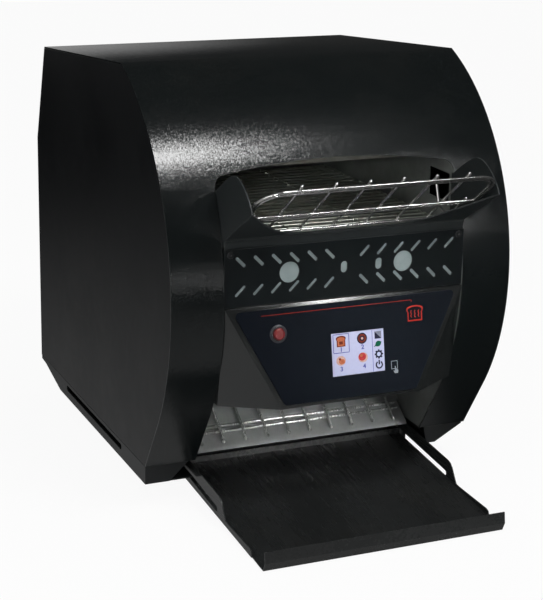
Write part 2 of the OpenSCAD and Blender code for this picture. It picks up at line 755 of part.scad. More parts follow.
guard_screw_at = [wall_half - 6, guard_z[1] - 5];
guard_oval_x = [-0.17 * guard_pitch, 1.84 * guard_pitch];
guard_hole_x = 3.28 * guard_pitch;
backing_half = guard_screw_at[0] - 2.4;
module guard_plate() {
    color([0.75, 0.76, 0.76]) {
        depth(guard_y, guard_y + sheet) difference() {
            translate([-wall_half, guard_z[0]]) square([wall_half * 2, guard_z[1] - guard_z[0]]);
            for (k = [1 : guard_slots], s = [-1, 1], r = [0, 1])
                translate([s * k * guard_pitch, r == 0 ? 243 : 272]) rotate(s * (r == 0 ? -45 : 45))
                    slot2(guard_slot, guard_slot_w);
            for (s = [-1, 1]) {
                translate([s * guard_hole_x, 257.4]) circle(d = guard_hole);
                translate([s * guard_screw_at[0], guard_screw_at[1]]) circle(d = screw_d + 0.2);
            }
            for (x = guard_oval_x) translate([x, 257.4]) rotate(90) slot2(11.4, 7);
        }
        pair() translate([wall_half - sheet, guard_y + sheet - 0.01, guard_z[0]])
            cube([sheet, 16, guard_z[1] - guard_z[0]]);
    }
}
module guard_backing() {
    color([0.8, 0.81, 0.81]) translate([-backing_half, guard_y + sheet, guard_z[0] + 1])
        cube([backing_half * 2, 0.8, lip_z - 0.6 - guard_z[0] - 1]);
}
module guard_screws() {
    color([0.8, 0.8, 0.8]) for (s = [-1, 1])
        translate([s * guard_screw_at[0], guard_y, guard_screw_at[1]]) rotate([90, 0, 0]) pan_screw(4);
}

// ---------------------------------------------------------------- controls

// Half-space that trims the right corner of the box, moved inwards by d
module corner_cut(d) {
    a = [box_half[0], box_top[0], box_top[1]];
    b = [box_half[1], box_low[0], box_low[1]];
    c = [open_half, box_wedge[0], box_wedge[1]];
    n = cross(b - a, c - a) / norm(cross(b - a, c - a));
    translate(a - n * d) rotate([0, acos(n[2]), atan2(n[1], n[0])])
        translate([-300, -300, 0]) cube([600, 600, 200]);
}
module box_solid(d) {
    difference() {
        across(-wall_half + d, wall_half - d) polygon([
            [box_top[0] + d / cos(face_tilt) - d * tan(face_tilt), box_top[1] - d],
            [box_low[0] + d / cos(face_tilt) + d * tan(face_tilt), box_low[1] + d],
            [box_wedge[0], box_wedge[1] + d], [box_back - d, box_wedge[1] + d],
            [box_back - d, box_top[1] - d]]);
        pair() corner_cut(d);
    }
}
screen_c = [9.3, 171];
button_at = [-76.2, 198.3];
module control_box() {
    color([0.55, 0.56, 0.56]) {
        difference() {
            box_solid(0);
            box_solid(sheet);
            on_face() {
                translate([screen_c[0], face_up(screen_c[1]), 0])
                    cube([screen_size[0] + 9, screen_size[1] + 9, 8], center = true);
                translate([button_at[0], face_up(button_at[1]), -5])
                    cylinder(h = 10, d = bezel_stem + 0.1);
            }
        }
        // stand-offs for the board
        on_face() for (x = board_x, y = [face_up(screen_c[1]) - 24, face_up(screen_c[1]) + 24])
            translate([x, y, -board_gap]) cylinder(h = board_gap - sheet + 0.1, d = 5);
    }
}
bezel_stem = 14.8;
board_gap = 11;
board_x = [-36, 56];
// Half width of the face at a height
function face_half(z) = box_half[1] + box_taper * (z - box_low[1]) / (box_top[1] - box_low[1]);
overlay_z = [128, 222.8];
overlay = [for (p = [[-1, 0], [1, 0], [1, 1], [-1, 1]])
    [p[0] * (face_half(overlay_z[p[1]]) - box_border), overlay_z[p[1]]]];
module control_overlay() {
    color([0.05, 0.06, 0.1]) on_face() translate([0, 0, 0.01]) linear_extrude(glass_t) difference() {
        rounded([for (p = overlay) [p[0], face_up(p[1])]], 4.5);
        translate([screen_c[0], face_up(screen_c[1])]) square(screen_size, center = true);
        translate([button_at[0], face_up(button_at[1])]) circle(d = bezel_stem + 0.1);
    }
}
module touch_screen() {
    color([0.9, 0.92, 0.95]) on_face() translate([screen_c[0], face_up(screen_c[1]), 0]) {
        translate([0, 0, glass_t - 0.3 - 4]) linear_extrude(4)
            square([screen_size[0] - 0.4, screen_size[1] - 0.4], center = true);
        translate([0, 0, -6]) linear_extrude(5.9)
            square([screen_size[0] + 8, screen_size[1] + 8], center = true);
    }
}
module button_bezel() {
    color([0.7, 0.7, 0.7]) on_face() translate([button_at[0], face_up(button_at[1]), 0]) difference() {
        union() {
            translate([0, 0, glass_t]) cylinder(h = 2, d = bezel_d);
            translate([0, 0, -9]) cylinder(h = 9 + glass_t + 0.1, d = bezel_stem);
            translate([0, 0, -5]) cylinder(h = 5 - sheet, d = bezel_stem + 3);
        }
        translate([0, 0, -7]) cylinder(h = 20, d = button_d + 2 * running);
        translate([0, 0, -20]) cylinder(h = 20, d = 6);
    }
}
module power_button() {
    color([0.75, 0.1, 0.08]) on_face() translate([button_at[0], face_up(button_at[1]), 0])
        translate([0, 0, -6.8 + button_travel])
            cylinder(h = 6.8 - button_travel + glass_t + 4, d = button_d);
}
module control_board() {
    color([0.1, 0.35, 0.2]) on_face() {
        translate([10 - 56, face_up(screen_c[1]) - 32, -board_gap - 1.6]) cube([112, 64, 1.6]);
        translate([-10, face_up(screen_c[1]) - 16, -board_gap - 5]) cube([24, 24, 3.41]);
        translate([30, face_up(screen_c[1]) + 4, -board_gap - 12]) cube([20, 14, 10.41]);
    }
}

// ---------------------------------------------------------------- delivery

function on_chute(y, n = 0) = [y - n * sin(chute_slope), chute_z + (y - chute_y) * tan(chute_slope)
    + n * cos(chute_slope)];
chute_end = 205;
chute_wall = 250;
module toast_chute() {
    m = -sheet / 2;
    color([0.83, 0.84, 0.84]) {
        across(-wall_half + 2.8, wall_half - 2.8)
            bent([on_chute(chute_y, m) + [-1.4, -3], on_chute(chute_y, m), on_chute(-45, m)], sheet);
        across(-wall_half, wall_half) bent([on_chute(-47, m), on_chute(chute_end, m), [228, 243],
            [242, 266], [chute_wall, 292], [chute_wall, 335]], sheet);
    }
}
cross_at = [-56.7, -50.8, 30, 110, 190];
module chute_wires() {
    color([0.85, 0.85, 0.85]) {
        for (i = [0 : chute_wires_n - 1]) {
            x = (i - (chute_wires_n - 1) / 2) * chute_pitch;
            a = on_chute(chute_y + 5.4, chute_wire / 2 + 0.9);
            b = on_chute(-57, chute_wire * 1.4);
            c = on_chute(chute_end - 8, chute_wire * 1.4);
            tip = a - (b - a) / norm(b - a) * 2;
            wire([[x, a[0], a[1]], [x, b[0], b[1]], [x, c[0], c[1]]], chute_wire);
            rod([x, tip[0], tip[1]], [x, a[0] + 0.8, a[1] + 0.6], chute_wire + 0.6);
        }
        for (y = cross_at) {
            p = on_chute(y, chute_wire / 2);
            rod([-wall_half + 7, p[0], p[1]], [wall_half - 7, p[0], p[1]], chute_wire - 0.1);
        }
    }
}
module chute_shield() {
    n = -14;
    a = on_chute(-8, n);
    b = on_chute(188, n);
    color([0.7, 0.7, 0.7]) across(-wall_half, wall_half) bent([a, b, b + [22, 6]], sheet);
}
module belt_baffle() {
    z = shaft_z - wheel_r - 10;
    color([0.72, 0.72, 0.72]) across(-wall_half, wall_half)
        bent([[idler_y + 12, z], [drive_y - 42, z], [drive_y - 34, z - 8]], sheet);
}

function tray_floor(y) = (y - tray_front) * tan(tray_slope);
// Side rail of the tray with its long slot
module tray_side() {
    difference() {
        polygon(concat([[tray_rear, 14], [tray_rear, 39.8]],
            [for (p = [[191, 36.8], [118, 31], [113, 29.4], [109, 26], [99, 11.6], [94, 10.9], [37, 9.6],
                [33, 8.2], [31.5, 5], [31.5, 1.7]]) [tray_front + p[0], p[1]]]));
        polygon([[tray_front + 123, 12], [tray_front + 123, 18], [tray_rear + 1, 27.2],
            [tray_rear + 1, 21.2]]);
        translate([tray_front + 123, 15]) circle(d = 6);
    }
}
module collector_tray() {
    m = tray_sheet / 2;
    color([0.25, 0.25, 0.26]) {
        pair() across(tray_half - tray_sheet, tray_half) tray_side();
        across(-tray_half + m, tray_half - m) bent([[tray_rear - m, 27.5], [tray_rear - m, tray_rear_z],
            [tray_front + 12, tray_floor(tray_front + 12) - 0.2], [tray_front + 4.5, m],
            [tray_front + m, 9], [tray_front + 2.4, 20.2]], tray_sheet);
    }
}
// Ledges under the base pan that carry the rear of the tray
module tray_guides() {
    y = [tray_rear - 8.5, tray_rear + 6];
    z = 13.2;
    color([0.2, 0.2, 0.2]) pair() {
        translate([tray_half - 6, y[0], z - 1.5]) cube([guide_x + 1 - tray_half + 6, y[1] - y[0], 1.5]);
        translate([guide_x - 1, y[0], z - 0.01]) cube([2, y[1] - y[0], base_z - z + 0.01]);
    }
}

// ---------------------------------------------------------------- electrics

guard_wire = 1.8;
fan_face = back_y - sheet - guard_wire - 1.4;
module cooling_fan() {
    color([0.12, 0.12, 0.12]) difference() {
        translate([fan_x - fan_size / 2, fan_face - fan_depth, fan_z - fan_size / 2])
            cube([fan_size, fan_depth, fan_size]);
        translate([fan_x, fan_face + 1, fan_z]) rotate([90, 0, 0])
            cylinder(h = fan_depth - 2, d = fan_size - 4);
        for (a = [0 : 90 : 270]) translate([fan_x, fan_face - fan_depth / 2, fan_z])
            rotate([0, a + 45, 0]) translate([fan_size * 0.27, 0, 0]) rotate([90, 0, 0])
                cylinder(h = fan_depth * 2, d = fan_size * 0.26, center = true);
        for (sx = [-1, 1], sz = [-1, 1])
            translate([fan_x + sx * (fan_size / 2 - 4.2), fan_face + 1, fan_z + sz * (fan_size / 2 - 4.2)])
                rotate([90, 0, 0]) cylinder(h = fan_depth + 2, d = 4.3);
    }
    // fixed pin that carries the rotor
    color([0.6, 0.6, 0.6]) translate([fan_x, fan_face - fan_depth + 1.5, fan_z]) rotate([-90, 0, 0])
        cylinder(h = 14, d = fan_pin);
}
fan_pin = 6;
module fan_rotor() {
    r = fan_size / 2 - 3.5;
    color([0.1, 0.1, 0.11]) translate([fan_x, fan_face - fan_depth + 4.5, fan_z]) rotate([-90, 0, 0]) {
        difference() {
            cylinder(h = 17, d = fan_size * 0.42);
            translate([0, 0, -1]) cylinder(h = 13, d = fan_pin + 2 * running);
        }
        for (i = [0 : 6]) rotate(i * 360 / 7) rotate([38, 0, 0]) translate([fan_size * 0.19, -0.8, 2])
            cube([r - fan_size * 0.19, 1.6, 14]);
    }
}
module fan_guard() {
    color([0.75, 0.75, 0.75]) {
        for (d = [22, 40, 58, 77]) translate([fan_x, fan_face + guard_wire / 2, fan_z]) rotate([90, 0, 0])
            rotate_extrude() translate([d / 2, 0]) circle(d = guard_wire, $fn = 16);
        for (a = [45, 135]) translate([fan_x, back_y - sheet - guard_wire / 2, fan_z]) rotate([0, a, 0])
            translate([0, 0, -46]) cylinder(h = 92, d = guard_wire, $fn = 16);
    }
}
module power_supply() {
    color([0.66, 0.67, 0.68]) {
        translate([-10, 108, floor_z + 8]) cube([90, 62, 30]);
        for (x = [-4, 70], y = [112, 160]) translate([x, y, floor_z]) cylinder(h = 8.1, d = 6);
    }
}
module relay_pair() {
    for (i = [0, 1]) color([0.15, 0.2, 0.3]) translate([-108 + i * 46, 112, floor_z]) cube([36, 30, 26]);
}
block_x = wall_half - 42;
module terminal_block() {
    color([0.85, 0.83, 0.75]) difference() {
        translate([block_x, 172, floor_z]) cube([36, 22, 22]);
        for (i = [0 : 2]) translate([block_x + 7 + i * 11, 183, floor_z + 12]) cylinder(h = 12, d = 6);
    }
}
module cable_gland() {
    color([0.1, 0.1, 0.1]) translate([gland_x, back_y, gland_z]) rotate([-90, 0, 0]) difference() {
        union() {
            cylinder(h = 1.2, d = gland_d + 8);
            translate([0, 0, -14]) cylinder(h = 14.1, d = gland_d);
            translate([0, 0, -9]) cylinder(h = 9 - sheet, d = gland_d + 7, $fn = 6);
        }
        translate([0, 0, -20]) cylinder(h = 40, d = 9);
    }
}

base_pan();
top_front_cover();
left_side_panel();
right_side_panel();
rear_panel();
foot_front_left();
foot_front_right();
foot_rear_left();
foot_rear_right();
inner_wall_left();
inner_wall_right();
feed_scoop();
feed_rack();
rack_clips();
guard_plate();
guard_backing();
guard_screws();
control_box();
control_overlay();
touch_screen();
power_button();
button_bezel();
control_board();
toast_chute();
chute_wires();
chute_shield();
collector_tray();
tray_guides();
conveyor_belt();
drive_shaft();
drive_wheels();
idler_shaft();
idler_wheels();
shaft_bushes();
driven_wheel();
motor_wheel();
motor_shaft();
drive_chain();
gear_motor();
motor_bracket();
upper_reflector();
lower_reflector();
upper_heaters();
lower_heaters();
heater_ends();
insulation_pad();
belt_baffle();
cooling_fan();
fan_rotor();
fan_guard();
power_supply();
relay_pair();
terminal_block();
cable_gland();
rear_screws();
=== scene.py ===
"""Dresses the conveyor toaster: housing, feed rack, belt, oven, controls, chute and tray."""

import logging
import math
from dataclasses import dataclass
from enum import Enum
from typing import Callable, Optional, Sequence

import bmesh
import bpy
from mathutils import Matrix, Vector


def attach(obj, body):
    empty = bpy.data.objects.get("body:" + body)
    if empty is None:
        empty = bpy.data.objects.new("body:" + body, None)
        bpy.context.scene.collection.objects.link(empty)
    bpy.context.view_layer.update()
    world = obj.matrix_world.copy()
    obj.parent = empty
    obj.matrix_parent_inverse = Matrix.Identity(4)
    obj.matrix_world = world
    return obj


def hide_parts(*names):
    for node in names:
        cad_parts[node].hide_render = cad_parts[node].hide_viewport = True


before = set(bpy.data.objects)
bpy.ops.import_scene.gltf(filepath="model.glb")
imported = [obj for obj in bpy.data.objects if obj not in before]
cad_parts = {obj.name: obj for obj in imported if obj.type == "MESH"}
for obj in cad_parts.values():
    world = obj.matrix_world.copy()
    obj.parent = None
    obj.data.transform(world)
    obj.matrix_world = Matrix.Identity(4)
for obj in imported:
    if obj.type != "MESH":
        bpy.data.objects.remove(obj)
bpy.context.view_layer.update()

LOG = logging.getLogger("toaster")
MM = 0.001
FLAT_LIMIT = math.radians(0.8)
EDGE_LIMIT = math.radians(38)
Pair = tuple[float, float]
Triple = tuple[float, float, float]
Socket = bpy.types.NodeSocket


class Axis(Enum):
    """Direction in which a brushed or rolled grain runs."""

    ACROSS = (0.04, 1.0, 1.0)
    DEPTH = (1.0, 0.04, 1.0)
    UP = (1.0, 1.0, 0.04)


class Body(Enum):
    """The bodies of the machine that carry new pieces."""

    HOUSING = "housing"
    TRAY = "tray"
    RACK = "rack"
    BUTTON = "button"


# ---------------------------------------------------------------- shader graphs


class Graph:
    """Adds and links the nodes of one node tree."""

    def __init__(self, tree: bpy.types.NodeTree) -> None:
        """Keeps the tree that it draws in."""
        self.tree = tree

    @classmethod
    def start(cls, owner: bpy.types.ID) -> "Graph":
        """Empties the nodes of a material or world and returns their graph.

        Args:
            owner: the material or world.

        Returns:
            The empty graph.
        """
        owner.use_nodes = True
        owner.node_tree.nodes.clear()
        return cls(owner.node_tree)

    def add(self, kind: str, values: Optional[dict] = None, **settings: object) -> bpy.types.Node:
        """Adds one node.

        Args:
            kind: the node's type name.
            values: input name or number to a constant or to the socket that feeds it.
            settings: properties of the node.

        Returns:
            The new node.
        """
        node = self.tree.nodes.new(kind)
        for key, value in settings.items():
            setattr(node, key, value)
        for key, value in (values or {}).items():
            if isinstance(value, bpy.types.NodeSocket):
                self.tree.links.new(value, node.inputs[key])
            else:
                node.inputs[key].default_value = value
        return node

    def math(self, operation: str, a: object, b: object = 0.0, clamp: bool = False) -> Socket:
        """Adds a Math node and returns its output."""
        return self.add("ShaderNodeMath", {0: a, 1: b}, operation=operation, use_clamp=clamp).outputs[0]

    def vector(self, operation: str, values: dict, output: object = 0) -> Socket:
        """Adds a Vector Math node and returns one of its outputs."""
        return self.add("ShaderNodeVectorMath", values, operation=operation).outputs[output]

    def noise(self, where: Socket, scale: object, detail: float, **more: float) -> Socket:
        """Adds a noise pattern and returns its value."""
        values = {"Vector": where, "Scale": scale, "Detail": detail, **more}
        return self.add("ShaderNodeTexNoise", values).outputs[0]

    def normal(self) -> Socket:
        """Returns the surface's own normal."""
        return self.add("ShaderNodeNewGeometry").outputs["Normal"]

    def weigh(self, a: Socket, share: float, b: Socket, rest: float) -> Socket:
        """Adds two values, each times its own share."""
        return self.math("ADD", self.math("MULTIPLY", a, share), self.math("MULTIPLY", b, rest))

    def span(self, value: object, low: float, high: float, out_low: float = 0.0, out_high: float = 1.0) -> Socket:
        """Maps a value from one range to another, smoothly clamped, and returns the output."""
        return self.add("ShaderNodeMapRange", {0: value, 1: low, 2: high, 3: out_low, 4: out_high},
                        interpolation_type="SMOOTHSTEP").outputs[0]

    def blend(self, factor: object, a: object, b: object) -> Socket:
        """Mixes two colours.

        Args:
            factor: share of the second colour.
            a: the first colour, as a socket or three numbers.
            b: the second colour.

        Returns:
            The mixed colour.
        """
        node = self.add("ShaderNodeMix", data_type="RGBA")
        for socket, value in zip((node.inputs[0], node.inputs[6], node.inputs[7]), (factor, a, b)):
            if isinstance(value, Socket):
                self.tree.links.new(value, socket)
            else:
                socket.default_value = value if isinstance(value, float) else (*value[:3], 1.0)
        return node.outputs[2]


class Effect:
    """A shared effect, kept as one node group that turns a place into masks, heights or a normal."""

    name = "Effect"
    inputs: dict[str, float] = {}
    outputs: tuple[str, ...] = ("Mask",)

    def draw(self, g: Graph, where: Socket, *sizes: Socket) -> Sequence[Socket]:
        """Draws the inside of the group.

        Args:
            g: the group's graph.
            where: coordinates on the piece.
            sizes: the other inputs, in order.

        Returns:
            The value of each output.
        """
        raise NotImplementedError

    def tree(self) -> bpy.types.NodeTree:
        """Makes the node group on first use.

        Returns:
            The group.
        """
        tree = bpy.data.node_groups.get(self.name)
        if tree is None:
            tree = bpy.data.node_groups.new(self.name, "ShaderNodeTree")
            tree.interface.new_socket("Vector", in_out="INPUT", socket_type="NodeSocketVector")
            for label, default in self.inputs.items():
                socket = tree.interface.new_socket(label, in_out="INPUT", socket_type="NodeSocketFloat")
                socket.default_value = default
            for label in self.outputs:
                kind = "NodeSocketVector" if label == "Normal" else "NodeSocketFloat"
                tree.interface.new_socket(label, in_out="OUTPUT", socket_type=kind)
            graph = Graph(tree)
            inside = graph.add("NodeGroupInput").outputs
            values = self.draw(graph, *inside[:len(self.inputs) + 1])
            graph.add("NodeGroupOutput", dict(enumerate(values)))
        return tree

    def place(self, g: Graph, where: Socket, *sizes: float) -> Sequence[Socket]:
        """Adds the effect to a material.

        Args:
            g: the material's graph.
            where: coordinates that it follows.
            sizes: values of the other inputs, in order.

        Returns:
            The outputs.
        """
        return g.add("ShaderNodeGroup", dict(enumerate((where, *sizes))), node_tree=self.tree()).outputs


class Speckle(Effect):
    """Fine grains of a textured powder coat: Fleck for colour and Height for relief."""

    name = "Powder speckle"
    inputs = {"Scale": 700.0}
    outputs = ("Fleck", "Height")

    def draw(self, g: Graph, where: Socket, *sizes: Socket) -> Sequence[Socket]:
        """Draws the grains from two sizes of pattern.

        Args:
            g: the group's graph.
            where: coordinates on the piece.
            sizes: the other inputs, in order.

        Returns:
            The value of each output.
        """
        coarse = g.noise(where, sizes[0], 3.0, Roughness=0.65)
        fine = g.add("ShaderNodeTexVoronoi", {"Vector": where, "Scale": g.math("MULTIPLY", sizes[0], 1.35)})
        return g.span(coarse, 0.52, 0.72), g.weigh(coarse, 0.75, fine.outputs[0], 0.35)


class Sparkle(Effect):
    """Small facets of a coarse powder coat, each tilted at random: Normal."""

    name = "Powder sparkle"
    inputs = {"Scale": 750.0, "Tilt": 0.2}
    outputs = ("Normal",)

    def draw(self, g: Graph, where: Socket, *sizes: Socket) -> Sequence[Socket]:
        """Tilts the normal by the colour of each cell.

        Args:
            g: the group's graph.
            where: coordinates on the piece.
            sizes: the other inputs, in order.

        Returns:
            The value of each output.
        """
        cells = g.add("ShaderNodeTexVoronoi", {"Vector": where, "Scale": sizes[0]})
        tilt = g.vector("SUBTRACT", {0: cells.outputs["Color"], 1: (0.5, 0.5, 0.5)})
        lean = g.vector("ADD", {0: g.normal(), 1: g.vector("SCALE", {0: tilt, 3: sizes[1]})})
        return (g.vector("NORMALIZE", {0: lean}),)


class Grain(Effect):
    """Long fine lines of brushed or rolled sheet: Line for roughness and Height for relief."""

    name = "Sheet grain"
    inputs = {"Scale": 900.0}
    outputs = ("Line", "Height")

    def draw(self, g: Graph, where: Socket, *sizes: Socket) -> Sequence[Socket]:
        """Draws lines from noise that was stretched before it came in.

        Args:
            g: the group's graph.
            where: coordinates on the piece.
            sizes: the other inputs, in order.

        Returns:
            The value of each output.
        """
        lines = g.noise(where, sizes[0], 5.0, Roughness=0.7)
        broad = g.noise(where, g.math("MULTIPLY", sizes[0], 0.12), 2.0)
        return g.weigh(lines, 0.6, broad, 0.4), lines


class Wear(Effect):
    """Rubbed edges: Mask is 1 where an edge is bare."""

    name = "Rubbed edges"
    inputs = {"Radius": 0.0008}

    def draw(self, g: Graph, where: Socket, *sizes: Socket) -> Sequence[Socket]:
        """Finds edges from a rounded normal and breaks them up with noise.

        Args:
            g: the group's graph.
            where: coordinates on the piece.
            sizes: the other inputs, in order.

        Returns:
            The value of each output.
        """
        rounded = g.add("ShaderNodeBevel", {"Radius": sizes[0]}, samples=4).outputs[0]
        facing = g.vector("DOT_PRODUCT", {0: rounded, 1: g.normal()}, "Value")
        breaks = g.span(g.noise(where, 90.0, 4.0), 0.35, 0.6, 0.15, 1.0)
        return (g.math("MULTIPLY", g.span(facing, 0.99, 0.86), breaks),)


class Dust(Effect):
    """Settled dust and crumbs: Mask is 1 on the upper faces in patches."""

    name = "Settled dust"

    def draw(self, g: Graph, where: Socket, *sizes: Socket) -> Sequence[Socket]:
        """Takes upward faces and a broad and a fine noise.

        Args:
            g: the group's graph.
            where: coordinates on the piece.
            sizes: the other inputs, in order; not used, as this effect has none.

        Returns:
            The value of each output.
        """
        up = g.add("ShaderNodeSeparateXYZ", {0: g.normal()}).outputs[2]
        patch = g.math("MULTIPLY", g.span(g.noise(where, 14.0, 5.0), 0.42, 0.72),
                       g.span(g.noise(where, 420.0, 2.0), 0.4, 0.7, 0.3, 1.0))
        return (g.math("MULTIPLY", g.span(up, 0.2, 0.95), patch),)


class Patches(Effect):
    """Broad uneven gloss: Value wanders slowly over a surface."""

    name = "Uneven gloss"
    outputs = ("Value",)

    def draw(self, g: Graph, where: Socket, *sizes: Socket) -> Sequence[Socket]:
        """Adds a broad noise and small smears."""
        return (g.weigh(g.noise(where, 9.0, 3.0), 0.65, g.noise(where, 60.0, 6.0, Distortion=0.8), 0.35),)


# ---------------------------------------------------------------- finishes


@dataclass(frozen=True)
class Finish:
    """A surface with patchy gloss, optional speckle, grain, rubbed edges and dust.

    Colours are linear. Sizes of patterns are repeats per metre.
    """

    name: str
    slot: str
    colour: Triple
    shade: Triple
    roughness: float
    metallic: float = 0.0
    spread: float = 0.08
    specular: float = 0.5
    speckle: float = 0.0
    speckle_scale: float = 700.0
    fleck: Triple = (0.1, 0.1, 0.1)
    fleck_amount: float = 0.0
    sparkle: float = 0.0
    sparkle_scale: float = 750.0
    grain: float = 0.0
    grain_scale: float = 900.0
    grain_gloss: float = 0.09
    axis: Axis = Axis.ACROSS
    wear: float = 0.0
    wear_colour: Triple = (0.35, 0.36, 0.36)
    wear_radius: float = 0.7 * MM
    dust: float = 0.0
    dust_colour: Triple = (0.42, 0.38, 0.32)
    dust_roughness: float = 0.4
    coat: float = 0.0
    coat_roughness: float = 0.1

    def material(self) -> bpy.types.Material:
        """Makes the material on first use.

        Returns:
            The finish's material.
        """
        made = bpy.data.materials.get(self.name)
        if made is None:
            made = bpy.data.materials.new(self.name)
            graph = Graph.start(made)
            shader = self.draw(graph, graph.add("ShaderNodeTexCoord").outputs["Object"])
            graph.add("ShaderNodeOutputMaterial", {"Surface": shader})
        return made

    def uneven(self, g: Graph, value: Socket, low: float, high: float) -> Socket:
        """Spreads the roughness evenly around its middle by a value between two limits."""
        return g.span(value, low, high, self.roughness - self.spread, self.roughness + self.spread)

    def draw(self, g: Graph, place: Socket) -> Socket:
        """Draws the graph of the finish.

        Args:
            g: the material's graph.
            place: Object coordinates.

        Returns:
            The shader output.
        """
        patches = Patches().place(g, place)[0]
        colour = g.blend(g.span(patches, 0.35, 0.65), self.colour, self.shade)
        rough = self.uneven(g, patches, 0.3, 0.7)
        heights: list[tuple[Socket, float]] = []
        if self.speckle > 0:
            speckle = Speckle().place(g, place, self.speckle_scale)
            colour = g.blend(g.math("MULTIPLY", speckle[0], self.fleck_amount), colour, self.fleck)
            heights.append((speckle[1], self.speckle))
        if self.grain > 0:
            stretched = g.add("ShaderNodeMapping", {"Vector": place, "Scale": self.axis.value}).outputs[0]
            grain = Grain().place(g, stretched, self.grain_scale)
            rough = g.math("ADD", rough, g.span(grain[0], 0.3, 0.7, -self.grain_gloss, self.grain_gloss))
            colour = g.blend(g.span(grain[0], 0.35, 0.7, 0.0, 0.55), colour, self.shade)
            heights.append((grain[1], self.grain))
        if self.wear > 0:
            worn = Wear().place(g, place, self.wear_radius)[0]
            colour = g.blend(g.math("MULTIPLY", worn, self.wear), colour, self.wear_colour)
        if self.dust > 0:
            dusty = g.math("MULTIPLY", Dust().place(g, place)[0], self.dust)
            colour = g.blend(dusty, colour, self.dust_colour)
            rough = g.math("ADD", rough, g.math("MULTIPLY", dusty, self.dust_roughness))
        tilt: dict = {}
        if self.sparkle > 0:
            tilt = {"Normal": Sparkle().place(g, place, self.sparkle_scale, self.sparkle)[0]}
        for height, distance in heights:
            bump = g.add("ShaderNodeBump", {"Height": height, "Distance": distance, "Strength": 1.0, **tilt})
            tilt = {"Normal": bump.outputs[0]}
        return g.add("ShaderNodeBsdfPrincipled", {
            "Base Color": colour, "Roughness": g.math("MAXIMUM", rough, 0.03, True), "Metallic": self.metallic,
            "Specular IOR Level": self.specular, "Coat Weight": self.coat,
            "Coat Roughness": self.coat_roughness, **tilt}).outputs[0]


@dataclass(frozen=True)
class Glowing(Finish):
    """A lit surface, such as a display backlight or a lamp lens."""

    roughness: float = 0.3
    specular: float = 0.04
    glow: float = 0.35
    cell_scale: float = 350.0

    def draw(self, g: Graph, place: Socket) -> Socket:
        """Draws a glossy front with an even light behind it.

        Args:
            g: the material's graph.
            place: Object coordinates.

        Returns:
            The shader output.
        """
        colour = g.blend(g.span(g.noise(place, self.cell_scale, 2.0), 0.3, 0.7), self.colour, self.shade)
        return g.add("ShaderNodeBsdfPrincipled",
                     {"Base Color": colour, "Roughness": self.roughness, "Emission Color": colour,
                      "Emission Strength": self.glow, "Specular IOR Level": self.specular}).outputs[0]


@dataclass(frozen=True)
class Clear(Finish):
    """Milky quartz that lets some light through."""

    transmission: float = 0.45
    bending: float = 1.46

    def draw(self, g: Graph, place: Socket) -> Socket:
        """Draws a cloudy glass.

        Args:
            g: the material's graph.
            place: Object coordinates.

        Returns:
            The shader output.
        """
        cloud = Patches().place(g, place)[0]
        return g.add("ShaderNodeBsdfPrincipled", {
            "Base Color": g.blend(g.span(cloud, 0.3, 0.7), self.colour, self.shade),
            "Roughness": self.uneven(g, cloud, 0.3, 0.7), "Transmission Weight": self.transmission,
            "IOR": self.bending}).outputs[0]


